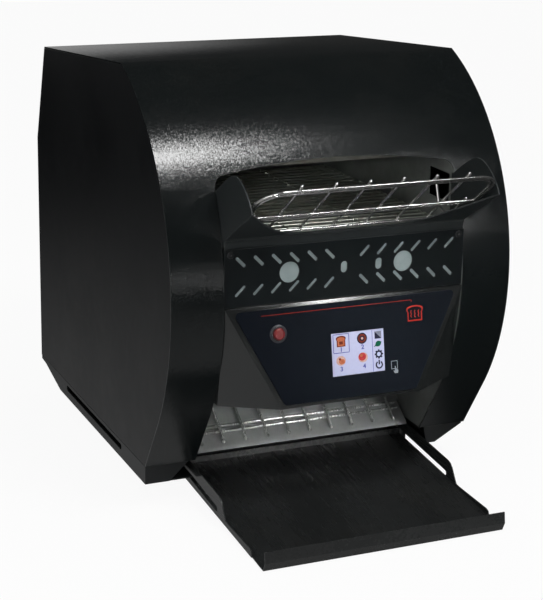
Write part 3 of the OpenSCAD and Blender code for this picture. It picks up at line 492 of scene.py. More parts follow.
class Finishes:
    """The finishes of this machine."""

    SHELL = Finish("textured black powder coat", "black_powder", (0.0034, 0.0048, 0.0050), (0.0048, 0.0064, 0.0066),
                   0.19, spread=0.01, specular=0.42, speckle=0.00005, speckle_scale=620.0, sparkle=0.085,
                   sparkle_scale=1150.0,
                   fleck=(0.03, 0.034, 0.034), fleck_amount=0.25, wear=0.35, wear_colour=(0.07, 0.075, 0.075),
                   dust=0.01)
    SIDE = Finish("side sheet coat", "black_powder", (0.0030, 0.0036, 0.0044), (0.0042, 0.0050, 0.0058),
                  0.40, spread=0.03, specular=0.2, speckle=0.00006, speckle_scale=900.0,
                  fleck=(0.02, 0.022, 0.022), fleck_amount=0.15, wear=0.4, wear_colour=(0.09, 0.095, 0.095), dust=0.01)
    SATIN = Finish("satin black paint", "dark_sheet", (0.0165, 0.0195, 0.0200), (0.021, 0.0245, 0.0250),
                   0.34, spread=0.04, specular=0.16, speckle=0.00003, speckle_scale=1500.0, wear=0.5,
                   wear_colour=(0.16, 0.165, 0.16), dust=0.03)
    PLATE = Finish("dark guard paint", "grey_sheet", (0.0042, 0.0060, 0.0068), (0.0060, 0.0082, 0.0090),
                   0.36, spread=0.03, specular=0.2, speckle=0.00003, speckle_scale=1600.0, wear=0.4,
                   wear_colour=(0.13, 0.14, 0.14), dust=0.04)
    BOX = Finish("grey satin box paint", "grey_sheet", (0.008, 0.0092, 0.0092), (0.011, 0.0125, 0.0125),
                 0.20, spread=0.02, specular=0.8, speckle=0.00001, speckle_scale=1500.0)
    PAN = Finish("black pan coat", "dark_sheet", (0.010, 0.0115, 0.012), (0.014, 0.0155, 0.016),
                 0.44, spread=0.04, specular=0.35, speckle=0.00008, speckle_scale=900.0, wear=0.4,
                 wear_colour=(0.08, 0.085, 0.085), dust=0.03)
    TRAY = Finish("tray non-stick coat", "tray_steel", (0.0135, 0.0145, 0.0145), (0.020, 0.0215, 0.0215),
                  0.27, spread=0.015, specular=0.34, grain=0.000003, grain_scale=260.0, axis=Axis.DEPTH,
                  wear=0.5, wear_colour=(0.09, 0.095, 0.095), dust=0.015)
    BACKING = Finish("pale primed backing", "light_sheet", (0.225, 0.275, 0.275), (0.18, 0.22, 0.22),
                     0.42, spread=0.06, speckle=0.00003, speckle_scale=900.0, dust=0.06)
    SLIDE = Finish("matt stainless slide", "light_sheet", (0.33, 0.34, 0.335), (0.25, 0.26, 0.26),
                   0.56, metallic=0.4, spread=0.05, grain=0.00002, grain_scale=700.0, axis=Axis.DEPTH,
                   wear=0.3, wear_colour=(0.85, 0.85, 0.85))
    SLIDE_WIRE = Finish("bright slide wire", "chrome_wire", (0.60, 0.61, 0.60), (0.50, 0.51, 0.50),
                        0.26, metallic=0.65, spread=0.03, grain=0.000002, grain_scale=800.0, axis=Axis.UP)
    WALL = Finish("aluminised inner sheet", "inner_steel", (0.25, 0.27, 0.255), (0.19, 0.20, 0.19),
                  0.40, metallic=0.4, spread=0.07, speckle=0.00002, speckle_scale=380.0, dust=0.08)
    HOT = Finish("heat-tinted reflector", "reflector", (0.30, 0.31, 0.28), (0.21, 0.21, 0.18),
                 0.34, metallic=0.5, spread=0.08, grain=0.00002, grain_scale=700.0, axis=Axis.ACROSS, dust=0.05)
    CHROME = Finish("chromed wire", "chrome_wire", (0.60, 0.60, 0.59), (0.52, 0.52, 0.51),
                    0.20, metallic=0.95, spread=0.03, grain=0.000002, grain_scale=800.0, axis=Axis.UP)
    BELT = Finish("heat-darkened belt wire", "shaft_steel", (0.44, 0.47, 0.42), (0.32, 0.33, 0.29),
                  0.34, metallic=0.85, spread=0.06, speckle=0.00001, speckle_scale=900.0)
    SHAFT = Finish("turned steel", "shaft_steel", (0.50, 0.50, 0.49), (0.38, 0.38, 0.37),
                   0.28, metallic=1.0, spread=0.06, grain=0.00001, grain_scale=1400.0, axis=Axis.UP, wear=0.3,
                   wear_colour=(0.7, 0.7, 0.7))
    WHEEL = Finish("oiled wheel steel", "dark_steel", (0.19, 0.18, 0.17), (0.12, 0.115, 0.11),
                   0.38, metallic=1.0, spread=0.07, speckle=0.00004, speckle_scale=700.0, wear=0.5,
                   wear_colour=(0.45, 0.45, 0.44))
    BRIGHT = Finish("zinc screw", "bright_screw", (0.55, 0.56, 0.56), (0.42, 0.43, 0.43),
                    0.30, metallic=1.0, spread=0.06, speckle=0.00002, speckle_scale=1500.0, wear=0.4,
                    wear_colour=(0.8, 0.8, 0.8))
    DARK_SCREW = Finish("blackened screw", "bright_screw", (0.05, 0.052, 0.055), (0.03, 0.032, 0.034),
                        0.34, metallic=0.8, spread=0.06, speckle=0.00002, speckle_scale=1500.0, wear=0.8,
                        wear_colour=(0.3, 0.3, 0.3))
    RUBBER = Finish("foot rubber", "rubber", (0.012, 0.012, 0.012), (0.020, 0.020, 0.020),
                    0.78, spread=0.06, specular=0.3, speckle=0.00008, speckle_scale=1100.0, dust=0.2)
    GLASS = Finish("navy overlay glass", "dark_glass", (0.0030, 0.0046, 0.0076), (0.0038, 0.0056, 0.0092),
                   0.30, spread=0.01, specular=0.06, speckle=0.000004, speckle_scale=2200.0)
    SCREEN = Glowing("lit display", "screen", (0.300, 0.315, 0.440), (0.290, 0.304, 0.425), 0.25)
    ICON_DARK = Glowing("display ink", "screen", (0.010, 0.010, 0.025), (0.015, 0.015, 0.03), glow=0.2)
    ICON_BLUE = Glowing("display outline", "screen", (0.05, 0.055, 0.20), (0.06, 0.065, 0.22), glow=0.3)
    ICON_CRUST = Glowing("display crust", "screen", (0.075, 0.014, 0.008), (0.12, 0.02, 0.01))
    ICON_CRUMB = Glowing("display crumb", "screen", (0.32, 0.10, 0.045), (0.25, 0.07, 0.03))
    ICON_PALE = Glowing("display pale", "screen", (0.38, 0.25, 0.21), (0.32, 0.19, 0.16))
    ICON_RED = Glowing("display red", "screen", (0.24, 0.018, 0.025), (0.30, 0.035, 0.035))
    ICON_GREEN = Glowing("display leaf", "screen", (0.003, 0.05, 0.028), (0.006, 0.07, 0.035))
    ICON_GREY = Glowing("display shade", "screen", (0.15, 0.155, 0.20), (0.12, 0.125, 0.16), glow=0.3)
    INK_RED = Finish("red overlay print", "red_button", (0.30, 0.020, 0.012), (0.24, 0.016, 0.010),
                     0.35, spread=0.03, specular=0.1, speckle=0.000004, speckle_scale=2400.0)
    INK_GREY = Finish("pale overlay print", "dark_glass", (0.30, 0.33, 0.35), (0.25, 0.28, 0.30),
                      0.35, spread=0.03, specular=0.1, speckle=0.000004, speckle_scale=2400.0)
    RED = Finish("red push lens", "red_button", (0.16, 0.004, 0.006), (0.05, 0.002, 0.003),
                 0.30, spread=0.04, speckle=0.00002, speckle_scale=1300.0, coat=0.35, coat_roughness=0.12)
    BEZEL = Finish("dark bezel", "black_plastic", (0.035, 0.037, 0.042), (0.028, 0.03, 0.034),
                   0.3, spread=0.04, speckle=0.00001, speckle_scale=1600.0, wear=0.9, wear_colour=(0.22, 0.22, 0.24))
    RING = Finish("bezel ring", "bright_screw", (0.13, 0.13, 0.15), (0.10, 0.10, 0.11), 0.30, metallic=0.9,
                  spread=0.04, speckle=0.00001, speckle_scale=1600.0)
    BOARD = Finish("circuit board lacquer", "board", (0.012, 0.10, 0.045), (0.010, 0.07, 0.03),
                   0.3, spread=0.05, speckle=0.00003, speckle_scale=500.0, fleck=(0.25, 0.2, 0.08), fleck_amount=0.5)
    BRONZE = Finish("sintered bronze", "bronze", (0.36, 0.22, 0.08), (0.28, 0.17, 0.07),
                    0.42, metallic=1.0, spread=0.06, speckle=0.00004, speckle_scale=1200.0, wear=0.4,
                    wear_colour=(0.6, 0.42, 0.2))
    MOTOR = Finish("motor enamel", "motor_paint", (0.045, 0.05, 0.055), (0.06, 0.066, 0.07),
                   0.42, spread=0.06, speckle=0.00008, speckle_scale=500.0, wear=0.5)
    BLACK = Finish("moulded black", "black_plastic", (0.016, 0.016, 0.017), (0.022, 0.022, 0.023),
                   0.5, spread=0.06, speckle=0.00004, speckle_scale=1000.0, dust=0.12)
    FILTER = Finish("filter cloth", "black_plastic", (0.010, 0.0105, 0.011), (0.024, 0.025, 0.026),
                    0.85, spread=0.05, specular=0.2, speckle=0.0003, speckle_scale=520.0,
                    fleck=(0.05, 0.05, 0.05), fleck_amount=0.4, dust=0.1)
    RELAY = Finish("relay case", "relay_plastic", (0.03, 0.045, 0.09), (0.04, 0.055, 0.11),
                   0.36, spread=0.05, speckle=0.00002, speckle_scale=1000.0, dust=0.1)
    CREAM = Finish("cream terminal block", "cream_plastic", (0.62, 0.56, 0.42), (0.54, 0.48, 0.35),
                   0.46, spread=0.05, speckle=0.00003, speckle_scale=900.0, dust=0.15)
    CERAMIC = Finish("steatite", "ceramic", (0.66, 0.63, 0.55), (0.56, 0.52, 0.44),
                     0.6, spread=0.07, speckle=0.00006, speckle_scale=650.0, dust=0.1)
    WOOL = Finish("ceramic wool", "wool", (0.70, 0.67, 0.58), (0.60, 0.56, 0.46),
                  0.92, spread=0.04, specular=0.2, speckle=0.0006, speckle_scale=260.0, fleck=(0.8, 0.78, 0.7),
                  fleck_amount=0.5)
    QUARTZ = Clear("milky quartz", "quartz", (0.80, 0.78, 0.72), (0.70, 0.67, 0.60), 0.3)
    COIL = Finish("heating coil", "dark_steel", (0.16, 0.14, 0.13), (0.10, 0.085, 0.08), 0.45, metallic=0.9,
                  spread=0.06, speckle=0.00003, speckle_scale=1500.0)


# ---------------------------------------------------------------- making pieces


def in_mm(points: Sequence[Pair]) -> list[Pair]:
    """Turns flat points in millimetres into metres."""
    return [(x * MM, y * MM) for x, y in points]


def rectangle(half_width: float, half_height: float) -> list[Pair]:
    """Returns the corners of a rectangle around the origin."""
    return [(-half_width, -half_height), (half_width, -half_height), (half_width, half_height),
            (-half_width, half_height)]


def circle(radius: float, steps: int, squash: float = 1.0) -> list[Pair]:
    """Returns the corners of a regular polygon or a squashed one."""
    turn = [k * math.tau / steps for k in range(steps)]
    return [(radius * math.cos(a), radius * squash * math.sin(a)) for a in turn]


def upright(x: float, y: float, z: float, way: float) -> Matrix:
    """Returns a place whose z faces the back (way -1) or the front (way 1)."""
    return Matrix.Translation((x, y, z)) @ Matrix.Rotation(way * math.pi / 2, 4, "X")


def grown(out: dict) -> tuple[list[bmesh.types.BMVert], list[bmesh.types.BMEdge]]:
    """Returns the new vertices of an extrusion and the edges between them.

    Args:
        out: what the extrusion's operator returned.

    Returns:
        The vertices and the edges.
    """
    verts = [g for g in out["geom"] if isinstance(g, bmesh.types.BMVert)]
    fresh = set(verts)
    return verts, [g for g in out["geom"] if isinstance(g, bmesh.types.BMEdge) and set(g.verts) <= fresh]


def link(name: str, data: bpy.types.ID) -> bpy.types.Object:
    """Puts a mesh, lamp, curve or camera into the scene and returns its object.

    Args:
        name: the object's name.
        data: what it shows.

    Returns:
        The object.
    """
    made = bpy.data.objects.new(name, data)
    bpy.context.scene.collection.objects.link(made)
    return made


class Shape:
    """A mesh under construction, drawn with bmesh operators."""

    def __init__(self) -> None:
        """Starts an empty mesh."""
        self.bm = bmesh.new()

    def take(self, bm: bmesh.types.BMesh) -> "Shape":
        """Moves another bmesh into this one and returns this shape.

        Args:
            bm: the other bmesh, which is freed.

        Returns:
            This shape.
        """
        mesh = bpy.data.meshes.new("part")
        bm.to_mesh(mesh)
        bm.free()
        self.bm.from_mesh(mesh)
        bpy.data.meshes.remove(mesh)
        return self

    def drop(self, other: "Shape", matrix: Matrix) -> "Shape":
        """Adds a placed copy of another shape and returns this one.

        Args:
            other: the shape to copy.
            matrix: place of the copy.

        Returns:
            This shape.
        """
        copy = other.bm.copy()
        bmesh.ops.transform(copy, matrix=matrix, verts=copy.verts)
        return self.take(copy)

    def lathe(self, profile: Sequence[Pair], steps: int = 32, matrix: Matrix = Matrix.Identity(4)) -> "Shape":
        """Spins an open profile of (radius, height) around z.

        Args:
            profile: points from one end of the axis to the other.
            steps: divisions of the turn.
            matrix: place of the finished solid.

        Returns:
            This shape.
        """
        bm = bmesh.new()
        verts = [bm.verts.new((r, 0.0, z)) for r, z in profile]
        edges = [bm.edges.new(pair) for pair in zip(verts, verts[1:])]
        bmesh.ops.spin(bm, geom=verts + edges, cent=(0, 0, 0), axis=(0, 0, 1), angle=math.tau, steps=steps,
                       use_merge=True)
        bmesh.ops.remove_doubles(bm, verts=bm.verts, dist=1e-7)
        bmesh.ops.recalc_face_normals(bm, faces=bm.faces)
        bmesh.ops.transform(bm, matrix=matrix, verts=bm.verts)
        return self.take(bm)

    def prism(self, outline: Sequence[Pair], low: float, high: float, matrix: Matrix = Matrix.Identity(4),
              bevel: float = 0.0) -> "Shape":
        """Raises a flat outline from one height to another.

        Args:
            outline: points (x, y) in order.
            low: height of the underside.
            high: height of the top.
            matrix: place of the finished solid.
            bevel: width of the rounding on every edge.

        Returns:
            This shape.
        """
        bm = bmesh.new()
        face = bm.faces.new([bm.verts.new((x, y, low)) for x, y in outline])
        tops = grown(bmesh.ops.extrude_face_region(bm, geom=[face]))[0]
        bmesh.ops.translate(bm, vec=(0, 0, high - low), verts=tops)
        bmesh.ops.recalc_face_normals(bm, faces=bm.faces)
        if bevel > 0:
            bmesh.ops.bevel(bm, geom=bm.edges[:], offset=bevel, segments=2, profile=0.5, affect="EDGES",
                            material=-1, clamp_overlap=True)
        bmesh.ops.transform(bm, matrix=matrix, verts=bm.verts)
        return self.take(bm)

    def wire(self, points: Sequence[Vector], radius: float, closed: bool = False, sides: int = 12) -> "Shape":
        """Sweeps a round wire along a line of points and rounds its free ends.

        Args:
            points: the wire's middle line.
            radius: half of its thickness.
            closed: joins the last point to the first.
            sides: sides of the section.

        Returns:
            This shape.
        """
        if closed:
            line = [*points, points[0]]
            sizes = [1.0] * len(line)
        else:
            line = self.domed(list(points), radius)
            sizes = [0.35, 0.8] + [1.0] * (len(line) - 4) + [0.8, 0.35]
        rings = [here @ Matrix.Diagonal((size, size, 1, 1)) for here, size in zip(self.frames(line, closed), sizes)]
        bm = bmesh.new()
        ring = bmesh.ops.create_circle(bm, cap_ends=False, segments=sides, radius=radius, matrix=rings[0])["verts"]
        first = edges = list({e for v in ring for e in v.link_edges})
        for here, on in zip(rings, rings[1:]):
            verts, edges = grown(bmesh.ops.extrude_edge_only(bm, edges=edges))
            bmesh.ops.transform(bm, matrix=on @ here.inverted(), verts=verts)
        if closed:
            bmesh.ops.remove_doubles(bm, verts=bm.verts, dist=radius * 0.05)
        else:
            bmesh.ops.holes_fill(bm, edges=first, sides=0)
            bmesh.ops.holes_fill(bm, edges=edges, sides=0)
        bmesh.ops.recalc_face_normals(bm, faces=bm.faces)
        return self.take(bm)

    @staticmethod
    def domed(line: list[Vector], radius: float) -> list[Vector]:
        """Adds the two stations of a rounded nose at both ends of a line.

        Args:
            line: the points.
            radius: half of the wire's thickness.

        Returns:
            The longer line.
        """
        a = (line[0] - line[1]).normalized() * radius
        b = (line[-1] - line[-2]).normalized() * radius
        return [line[0], line[0] - a * 0.25, line[0] - a * 0.75, *line[1:-1], line[-1] - b * 0.75,
                line[-1] - b * 0.25, line[-1]]

    @staticmethod
    def frames(line: Sequence[Vector], closed: bool) -> list[Matrix]:
        """Turns a line into matrices whose z follows it without twist.

        Args:
            line: the points.
            closed: the last point is the first one again.

        Returns:
            One matrix for each point.
        """
        found: list[Matrix] = []
        side = Vector((0.0, 0.0, 0.0))
        count = len(line)
        for i in range(count):
            before = line[i - 1] if i else (line[-2] if closed else line[0])
            after = line[i + 1] if i < count - 1 else (line[1] if closed else line[-1])
            along = (after - before).normalized()
            if i == 0:
                side = along.orthogonal().normalized()
            side = (side - along * side.dot(along)).normalized()
            turn = Matrix((side, along.cross(side), along)).transposed().to_4x4()
            found.append(Matrix.Translation(line[i]) @ turn)
        return found

    def ball(self, centre: Vector, radius: float) -> "Shape":
        """Adds a small welded bead and returns this shape.

        Args:
            centre: middle of the bead.
            radius: its radius.

        Returns:
            This shape.
        """
        bm = bmesh.new()
        bmesh.ops.create_uvsphere(bm, u_segments=12, v_segments=8, radius=radius)
        bmesh.ops.translate(bm, vec=centre, verts=bm.verts)
        return self.take(bm)


def bend(points: Sequence[Vector], radii: Sequence[float], closed: bool = False, steps: int = 8) -> list[Vector]:
    """Rounds the corners of a line of points.

    Args:
        points: the corners.
        radii: bend radius at each corner; the first and last are ignored on an open line.
        closed: the line returns to its start.
        steps: divisions of each bend.

    Returns:
        The rounded line.
    """
    out: list[Vector] = []
    count = len(points)
    for i, corner in enumerate(points):
        if not closed and i in (0, count - 1) or radii[i] <= 0:
            out.append(Vector(corner))
            continue
        back = (points[i - 1] - corner).normalized()
        on = (points[(i + 1) % count] - corner).normalized()
        half = back.angle(on) / 2
        centre = corner + (back + on).normalized() * radii[i] / math.sin(half)
        start = (corner + back * radii[i] / math.tan(half) - centre).normalized()
        end = (corner + on * radii[i] / math.tan(half) - centre).normalized()
        out += [centre + start.slerp(end, k / steps) * radii[i] for k in range(steps + 1)]
    return out


def place(shape: Shape, name: str, finish: Finish, replaces: Sequence[str] = (), angle: float = 35.0,
          body: Body = Body.HOUSING) -> bpy.types.Object:
    """Turns a finished shape into a piece of the machine.

    Args:
        shape: the finished mesh.
        name: the piece's name.
        finish: its surface.
        replaces: CAD nodes that it stands for.
        angle: sharpness limit of its shading, in degrees.
        body: the body that it rides on.

    Returns:
        The piece.
    """
    mesh = bpy.data.meshes.new(name)
    shape.bm.to_mesh(mesh)
    shape.bm.free()
    mesh.materials.append(finish.material())
    mesh.polygons.foreach_set("use_smooth", [True] * len(mesh.polygons))
    mesh.set_sharp_from_angle(angle=math.radians(angle))
    piece = link(name, mesh)
    if replaces:
        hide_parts(*replaces)
    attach(piece, body.value)
    LOG.info("%s: %d faces, %s", name, len(mesh.polygons), finish.name)
    return piece


def soften(node: str, name: str, finish: Finish, width: float = 0.3 * MM, segments: int = 2,
           body: Body = Body.HOUSING, trim: Optional[Callable[[bmesh.types.BMesh], None]] = None) -> None:
    """Makes a piece from a CAD node with its triangles joined and its sharp edges rounded.

    Args:
        node: the CAD node.
        name: the piece's name.
        finish: its surface.
        width: width of the rounding.
        segments: steps of the rounding.
        body: the body that it rides on.
        trim: cuts the joined mesh before it is rounded.
    """
    shape = Shape()
    shape.bm.from_mesh(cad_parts[node].data)
    bmesh.ops.remove_doubles(shape.bm, verts=shape.bm.verts, dist=0.002 * MM)
    if trim:
        trim(shape.bm)
    bmesh.ops.dissolve_limit(shape.bm, angle_limit=FLAT_LIMIT, use_dissolve_boundaries=False,
                             verts=shape.bm.verts, edges=shape.bm.edges, delimit={"SHARP"})
    rounding = place(shape, name, finish, (node,), body=body).modifiers.new("rounded edges", "BEVEL")
    rounding.width = width
    rounding.segments = segments
    rounding.limit_method = "ANGLE"
    rounding.angle_limit = EDGE_LIMIT
    rounding.use_clamp_overlap = True
    rounding.harden_normals = True


def dress(finish: Finish, *nodes: str) -> None:
    """Gives CAD nodes their finish.

    Args:
        finish: the surface.
        nodes: the CAD nodes.
    """
    for node in nodes:
        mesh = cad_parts[node].data
        mesh.materials.clear()
        mesh.materials.append(finish.material())
        LOG.info("%s: CAD node, %s", node, finish.name)


# ---------------------------------------------------------------- sub-assemblies


@dataclass
class CrossScrew:
    """A pan head with a cross recess, its top facing +z; the crown gives shares of radius and height."""

    radius: float = 3.5 * MM
    height: float = 1.2 * MM
    recess: float = 0.8 * MM
    cells: int = 5
    crown: tuple[Pair, ...] = ((0.82, 0.88), (1.0, 0.55), (1.0, 0.0))

    def head(self) -> Shape:
        """Raises a domed head and sinks a cross into it.

        Returns:
            The screw head.
        """
        shape = Shape()
        bm = shape.bm
        bmesh.ops.create_grid(bm, x_segments=self.cells, y_segments=self.cells, size=self.radius / 2)
        bmesh.ops.translate(bm, vec=(0, 0, self.height), verts=bm.verts)
        rims = [e for e in bm.edges if e.is_boundary]
        for wide, high in self.crown:
            verts, rims = grown(bmesh.ops.extrude_edge_only(bm, edges=rims))
            for vert in verts:
                vert.co = vert.co.xy.normalized().to_3d() * self.radius * wide
                vert.co.z = self.height * high
        bmesh.ops.holes_fill(bm, edges=rims, sides=0)
        cross = [f for f in bm.faces if self.in_cross(f.calc_center_median())]
        sunk = bmesh.ops.extrude_face_region(bm, geom=cross)
        bmesh.ops.delete(bm, geom=cross, context="FACES_ONLY")
        bmesh.ops.translate(bm, vec=(0, 0, -self.recess), verts=grown(sunk)[0])
        bmesh.ops.remove_doubles(bm, verts=bm.verts, dist=1e-7)
        bmesh.ops.recalc_face_normals(bm, faces=bm.faces)
        return shape

    def in_cross(self, centre: Vector) -> bool:
        """Tells whether a face's middle lies on the recess."""
        across = sorted((abs(centre.x) / self.radius, abs(centre.y) / self.radius))
        return centre.z > self.height * 0.95 and across[0] < 0.12 and across[1] < 0.32

    def rows(self, places: Sequence[Matrix]) -> Shape:
        """Copies the head to every place and returns them as one shape.

        Args:
            places: where the heads sit.

        Returns:
            All of the heads.
        """
        stock, shape = self.head(), Shape()
        for at in places:
            shape.drop(stock, at)
        stock.bm.free()
        return shape


@dataclass
class Housing:
    """Outer sheets, pan, feet and the screws and gland at the back.

    Profiles are in millimetres; the foot's widths are shares of its radius.
    """

    edge: float = 0.5 * MM
    rear_edge: float = 0.25 * MM
    foot_x: float = 137 * MM
    foot_y: Pair = (-7.5 * MM, 180 * MM)
    foot_radius: float = 10 * MM
    foot_profile: tuple[Pair, ...] = (
        (0.0, 0.0), (0.3, 0.0), (0.32, 0.8), (0.55, 0.8), (0.58, 0.0), (0.74, 0.0), (0.8, 0.3), (0.82, 1.2),
        (0.84, 2.2), (0.86, 12.5), (0.9, 18.0), (0.94, 22.0), (1.0, 22.8), (1.0, 24.2), (0.97, 24.9), (0.0, 24.9))
    back_y: float = 278.8 * MM
    screw_x: float = 177 * MM
    screw_z: tuple[float, ...] = (58 * MM, 180 * MM, 300 * MM)
    gland_at: Pair = (110 * MM, 74 * MM)
    gland_flange: tuple[Pair, ...] = (
        (4.5, 0.0), (14.0, 0.0), (14.0, 0.7), (13.4, 1.2), (4.9, 1.2), (4.5, 0.9), (4.5, 0.0))
    gland_barrel: tuple[Pair, ...] = ((4.5, -14.0), (10.0, -14.0), (10.0, 0.1), (4.5, 0.1), (4.5, -14.0))
    nut_radius: float = 13.5 * MM
    nut_depth: Pair = (-9 * MM, -1.3 * MM)
    nut_edge: float = 0.5 * MM
    bend_z: float = 311.3 * MM
    lean: Pair = (35.7 * MM, 110.5 * MM)
    filter_half: float = 140 * MM
    filter_rise: Pair = (12 * MM, 98 * MM)
    filter_depth: Pair = (1.3 * MM, 2.5 * MM)
    filter_edge: float = 0.3 * MM
    lip_x: Pair = (149.0 * MM, 150.1 * MM)
    lip_end: float = 277.0 * MM
    lip_top: float = 26.6 * MM
    lip_stop: float = 208.0 * MM

    def build(self) -> None:
        """Makes every piece of the housing."""
        soften("top_front_cover", "rounded_cover", Finishes.SHELL, self.edge)
        soften("left_side_panel", "left_side_sheet", Finishes.SIDE, self.edge)
        soften("right_side_panel", "right_side_sheet", Finishes.SIDE, self.edge)
        soften("rear_panel", "rear_sheet", Finishes.SIDE, self.rear_edge)
        soften("base_pan", "base_pan", Finishes.PAN, trim=self.shorten_lip)
        self.feet()
        screws = [upright(x, self.back_y, z, -1) for z in self.screw_z for x in (-self.screw_x, self.screw_x)]
        place(CrossScrew().rows(screws), "rear_sheet_screws", Finishes.BRIGHT, ("rear_screws",))
        self.gland()
        self.filter()

    def shorten_lip(self, bm: bmesh.types.BMesh) -> None:
        """Ends the narrow lip of the pan's right strip where the pan starts to rise.

        Args:
            bm: the joined mesh of the pan.
        """
        for vert in bm.verts:
            x, y, z = vert.co
            if self.lip_x[0] < x < self.lip_x[1] and y > self.lip_end and z < self.lip_top:
                vert.co.y = self.lip_stop

    def feet(self) -> None:
        """Turns the four rubber feet with a waist and a rounded sole."""
        profile = [(self.foot_radius * share, height * MM) for share, height in self.foot_profile]
        for end, y in zip(("front", "rear"), self.foot_y):
            for side, x in (("left", -self.foot_x), ("right", self.foot_x)):
                rubber = Shape().lathe(profile, 40, Matrix.Translation((x, y, 0.0)))
                place(rubber, f"{end}_{side}_rubber", Finishes.RUBBER, (f"foot_{end}_{side}",))

    def gland(self) -> None:
        """Turns the gland's rounded flange and barrel, and adds its nut inside."""
        at = upright(self.gland_at[0], self.back_y, self.gland_at[1], -1)
        shape = Shape().lathe(in_mm(self.gland_flange), 40, at).lathe(in_mm(self.gland_barrel), 36, at)
        shape.prism(circle(self.nut_radius, 6), *self.nut_depth, at, self.nut_edge)
        place(shape, "cable_gland_body", Finishes.BLACK, ("cable_gland",))

    def filter(self) -> None:
        """Lays a thin filter cloth against the inside of the rear louvres."""
        x, (low, high) = self.filter_half, self.filter_rise
        at = (Matrix.Translation((0.0, self.back_y, self.bend_z))
              @ Matrix.Rotation(math.atan2(*self.lean) + math.pi / 2, 4, "X"))
        cloth = Shape().prism([(-x, low), (x, low), (x, high), (-x, high)], *self.filter_depth, at,
                              self.filter_edge)
        place(cloth, "louvre_filter", Finishes.FILTER)


@dataclass
class FeedRack:
    """The hinged wire rack that hands slices to the belt; bead and thin are shares of the wire."""

    pivot: Pair = (-170 * MM, 299.5 * MM)
    slope: float = math.radians(37.6)
    wire: float = 1.5 * MM
    thin: float = 0.95
    bead: float = 1.12
    half: float = 125.8 * MM
    inset: float = 4.4 * MM
    low: float = 32.6 * MM
    high: float = 92.8 * MM
    front_bend: float = 27 * MM
    rear_bend: float = 7 * MM
    count: int = 6
    pitch: float = 34.8 * MM
    lift: float = 2.4 * MM
    run: Triple = (-1.5 * MM, 50 * MM, 97.5 * MM)
    tip: float = 98 * MM
    tip_radius: float = 1.95 * MM
    pivot_half: float = 127.8 * MM
    arm_x: float = 113 * MM
    arm_run: Pair = (39 * MM, 1 * MM)
    arm_hook: tuple[Pair, ...] = ((-158 * MM, 300 * MM), (-146 * MM, 304 * MM), (-135.5 * MM, 332 * MM))
    arm_bends: tuple[float, ...] = (0.0, 3 * MM, 4 * MM, 4 * MM, 0.0)

    def at(self, x: float, s: float, n: float = 0.0) -> Vector:
        """Returns a point on the rack: across, up the slope and above its plane.

        Args:
            x: distance across.
            s: distance up the slope.
            n: distance above the plane.

        Returns:
            The point.
        """
        y, z = self.pivot
        return Vector((x, y - s * math.cos(self.slope) + n * math.sin(self.slope),
                       z + s * math.sin(self.slope) + n * math.cos(self.slope)))

    def build(self) -> None:
        """Bends both loops, lays the long wires over them and welds beads at the crossings."""
        shape = Shape()
        for inset in (0.0, self.inset):
            h, low, high = self.half - inset, self.low + inset, self.high - inset
            corners = [self.at(-h, low), self.at(h, low), self.at(h, high), self.at(-h, high)]
            rear, front = self.rear_bend - inset, self.front_bend - inset
            shape.wire(bend(corners, [rear, rear, front, front], True, 10), self.wire, True, 14)
        crossings = (self.low, self.low + self.inset, self.high, self.high - self.inset, 0.0)
        for k in range(self.count):
            x = (k - (self.count - 1) / 2) * self.pitch
            shape.wire([self.at(x, s, self.lift) for s in self.run], self.wire * self.thin)
            shape.ball(self.at(x, self.tip, self.lift), self.tip_radius)
            for s in crossings:
                shape.ball(self.at(x, s, self.lift / 2), self.wire * self.bead)
        shape.wire([self.at(x, 0) for x in (-self.pivot_half, 0.0, self.pivot_half)], self.wire, sides=14)
        for x in (-self.arm_x, self.arm_x):
            line = [self.at(x, s, self.lift) for s in self.arm_run] + [Vector((x, y, z)) for y, z in self.arm_hook]
            shape.wire(bend(line, self.arm_bends, steps=5), self.wire * self.thin)
        place(shape, "wire_rack", Finishes.CHROME, ("feed_rack",), 60.0, Body.RACK)


@dataclass
class Feed:
    """Scoop, rack, pivot clips and the perforated guard below them."""

    guard_y: float = -168.5 * MM
    guard_edge: float = 0.25 * MM
    screw_at: Pair = (124 * MM, 280 * MM)

    def build(self) -> None:
        """Makes the feed end."""
        soften("feed_scoop", "scoop_sheet", Finishes.SATIN)
        FeedRack().build()
        dress(Finishes.SHAFT, "rack_clips")
        soften("guard_plate", "guard_sheet", Finishes.PLATE, self.guard_edge)
        dress(Finishes.BACKING, "guard_backing")
        x, z = self.screw_at
        screws = [upright(side, self.guard_y, z, 1) for side in (-x, x)]
        place(CrossScrew().rows(screws), "guard_plate_screws", Finishes.DARK_SCREW, ("guard_screws",))


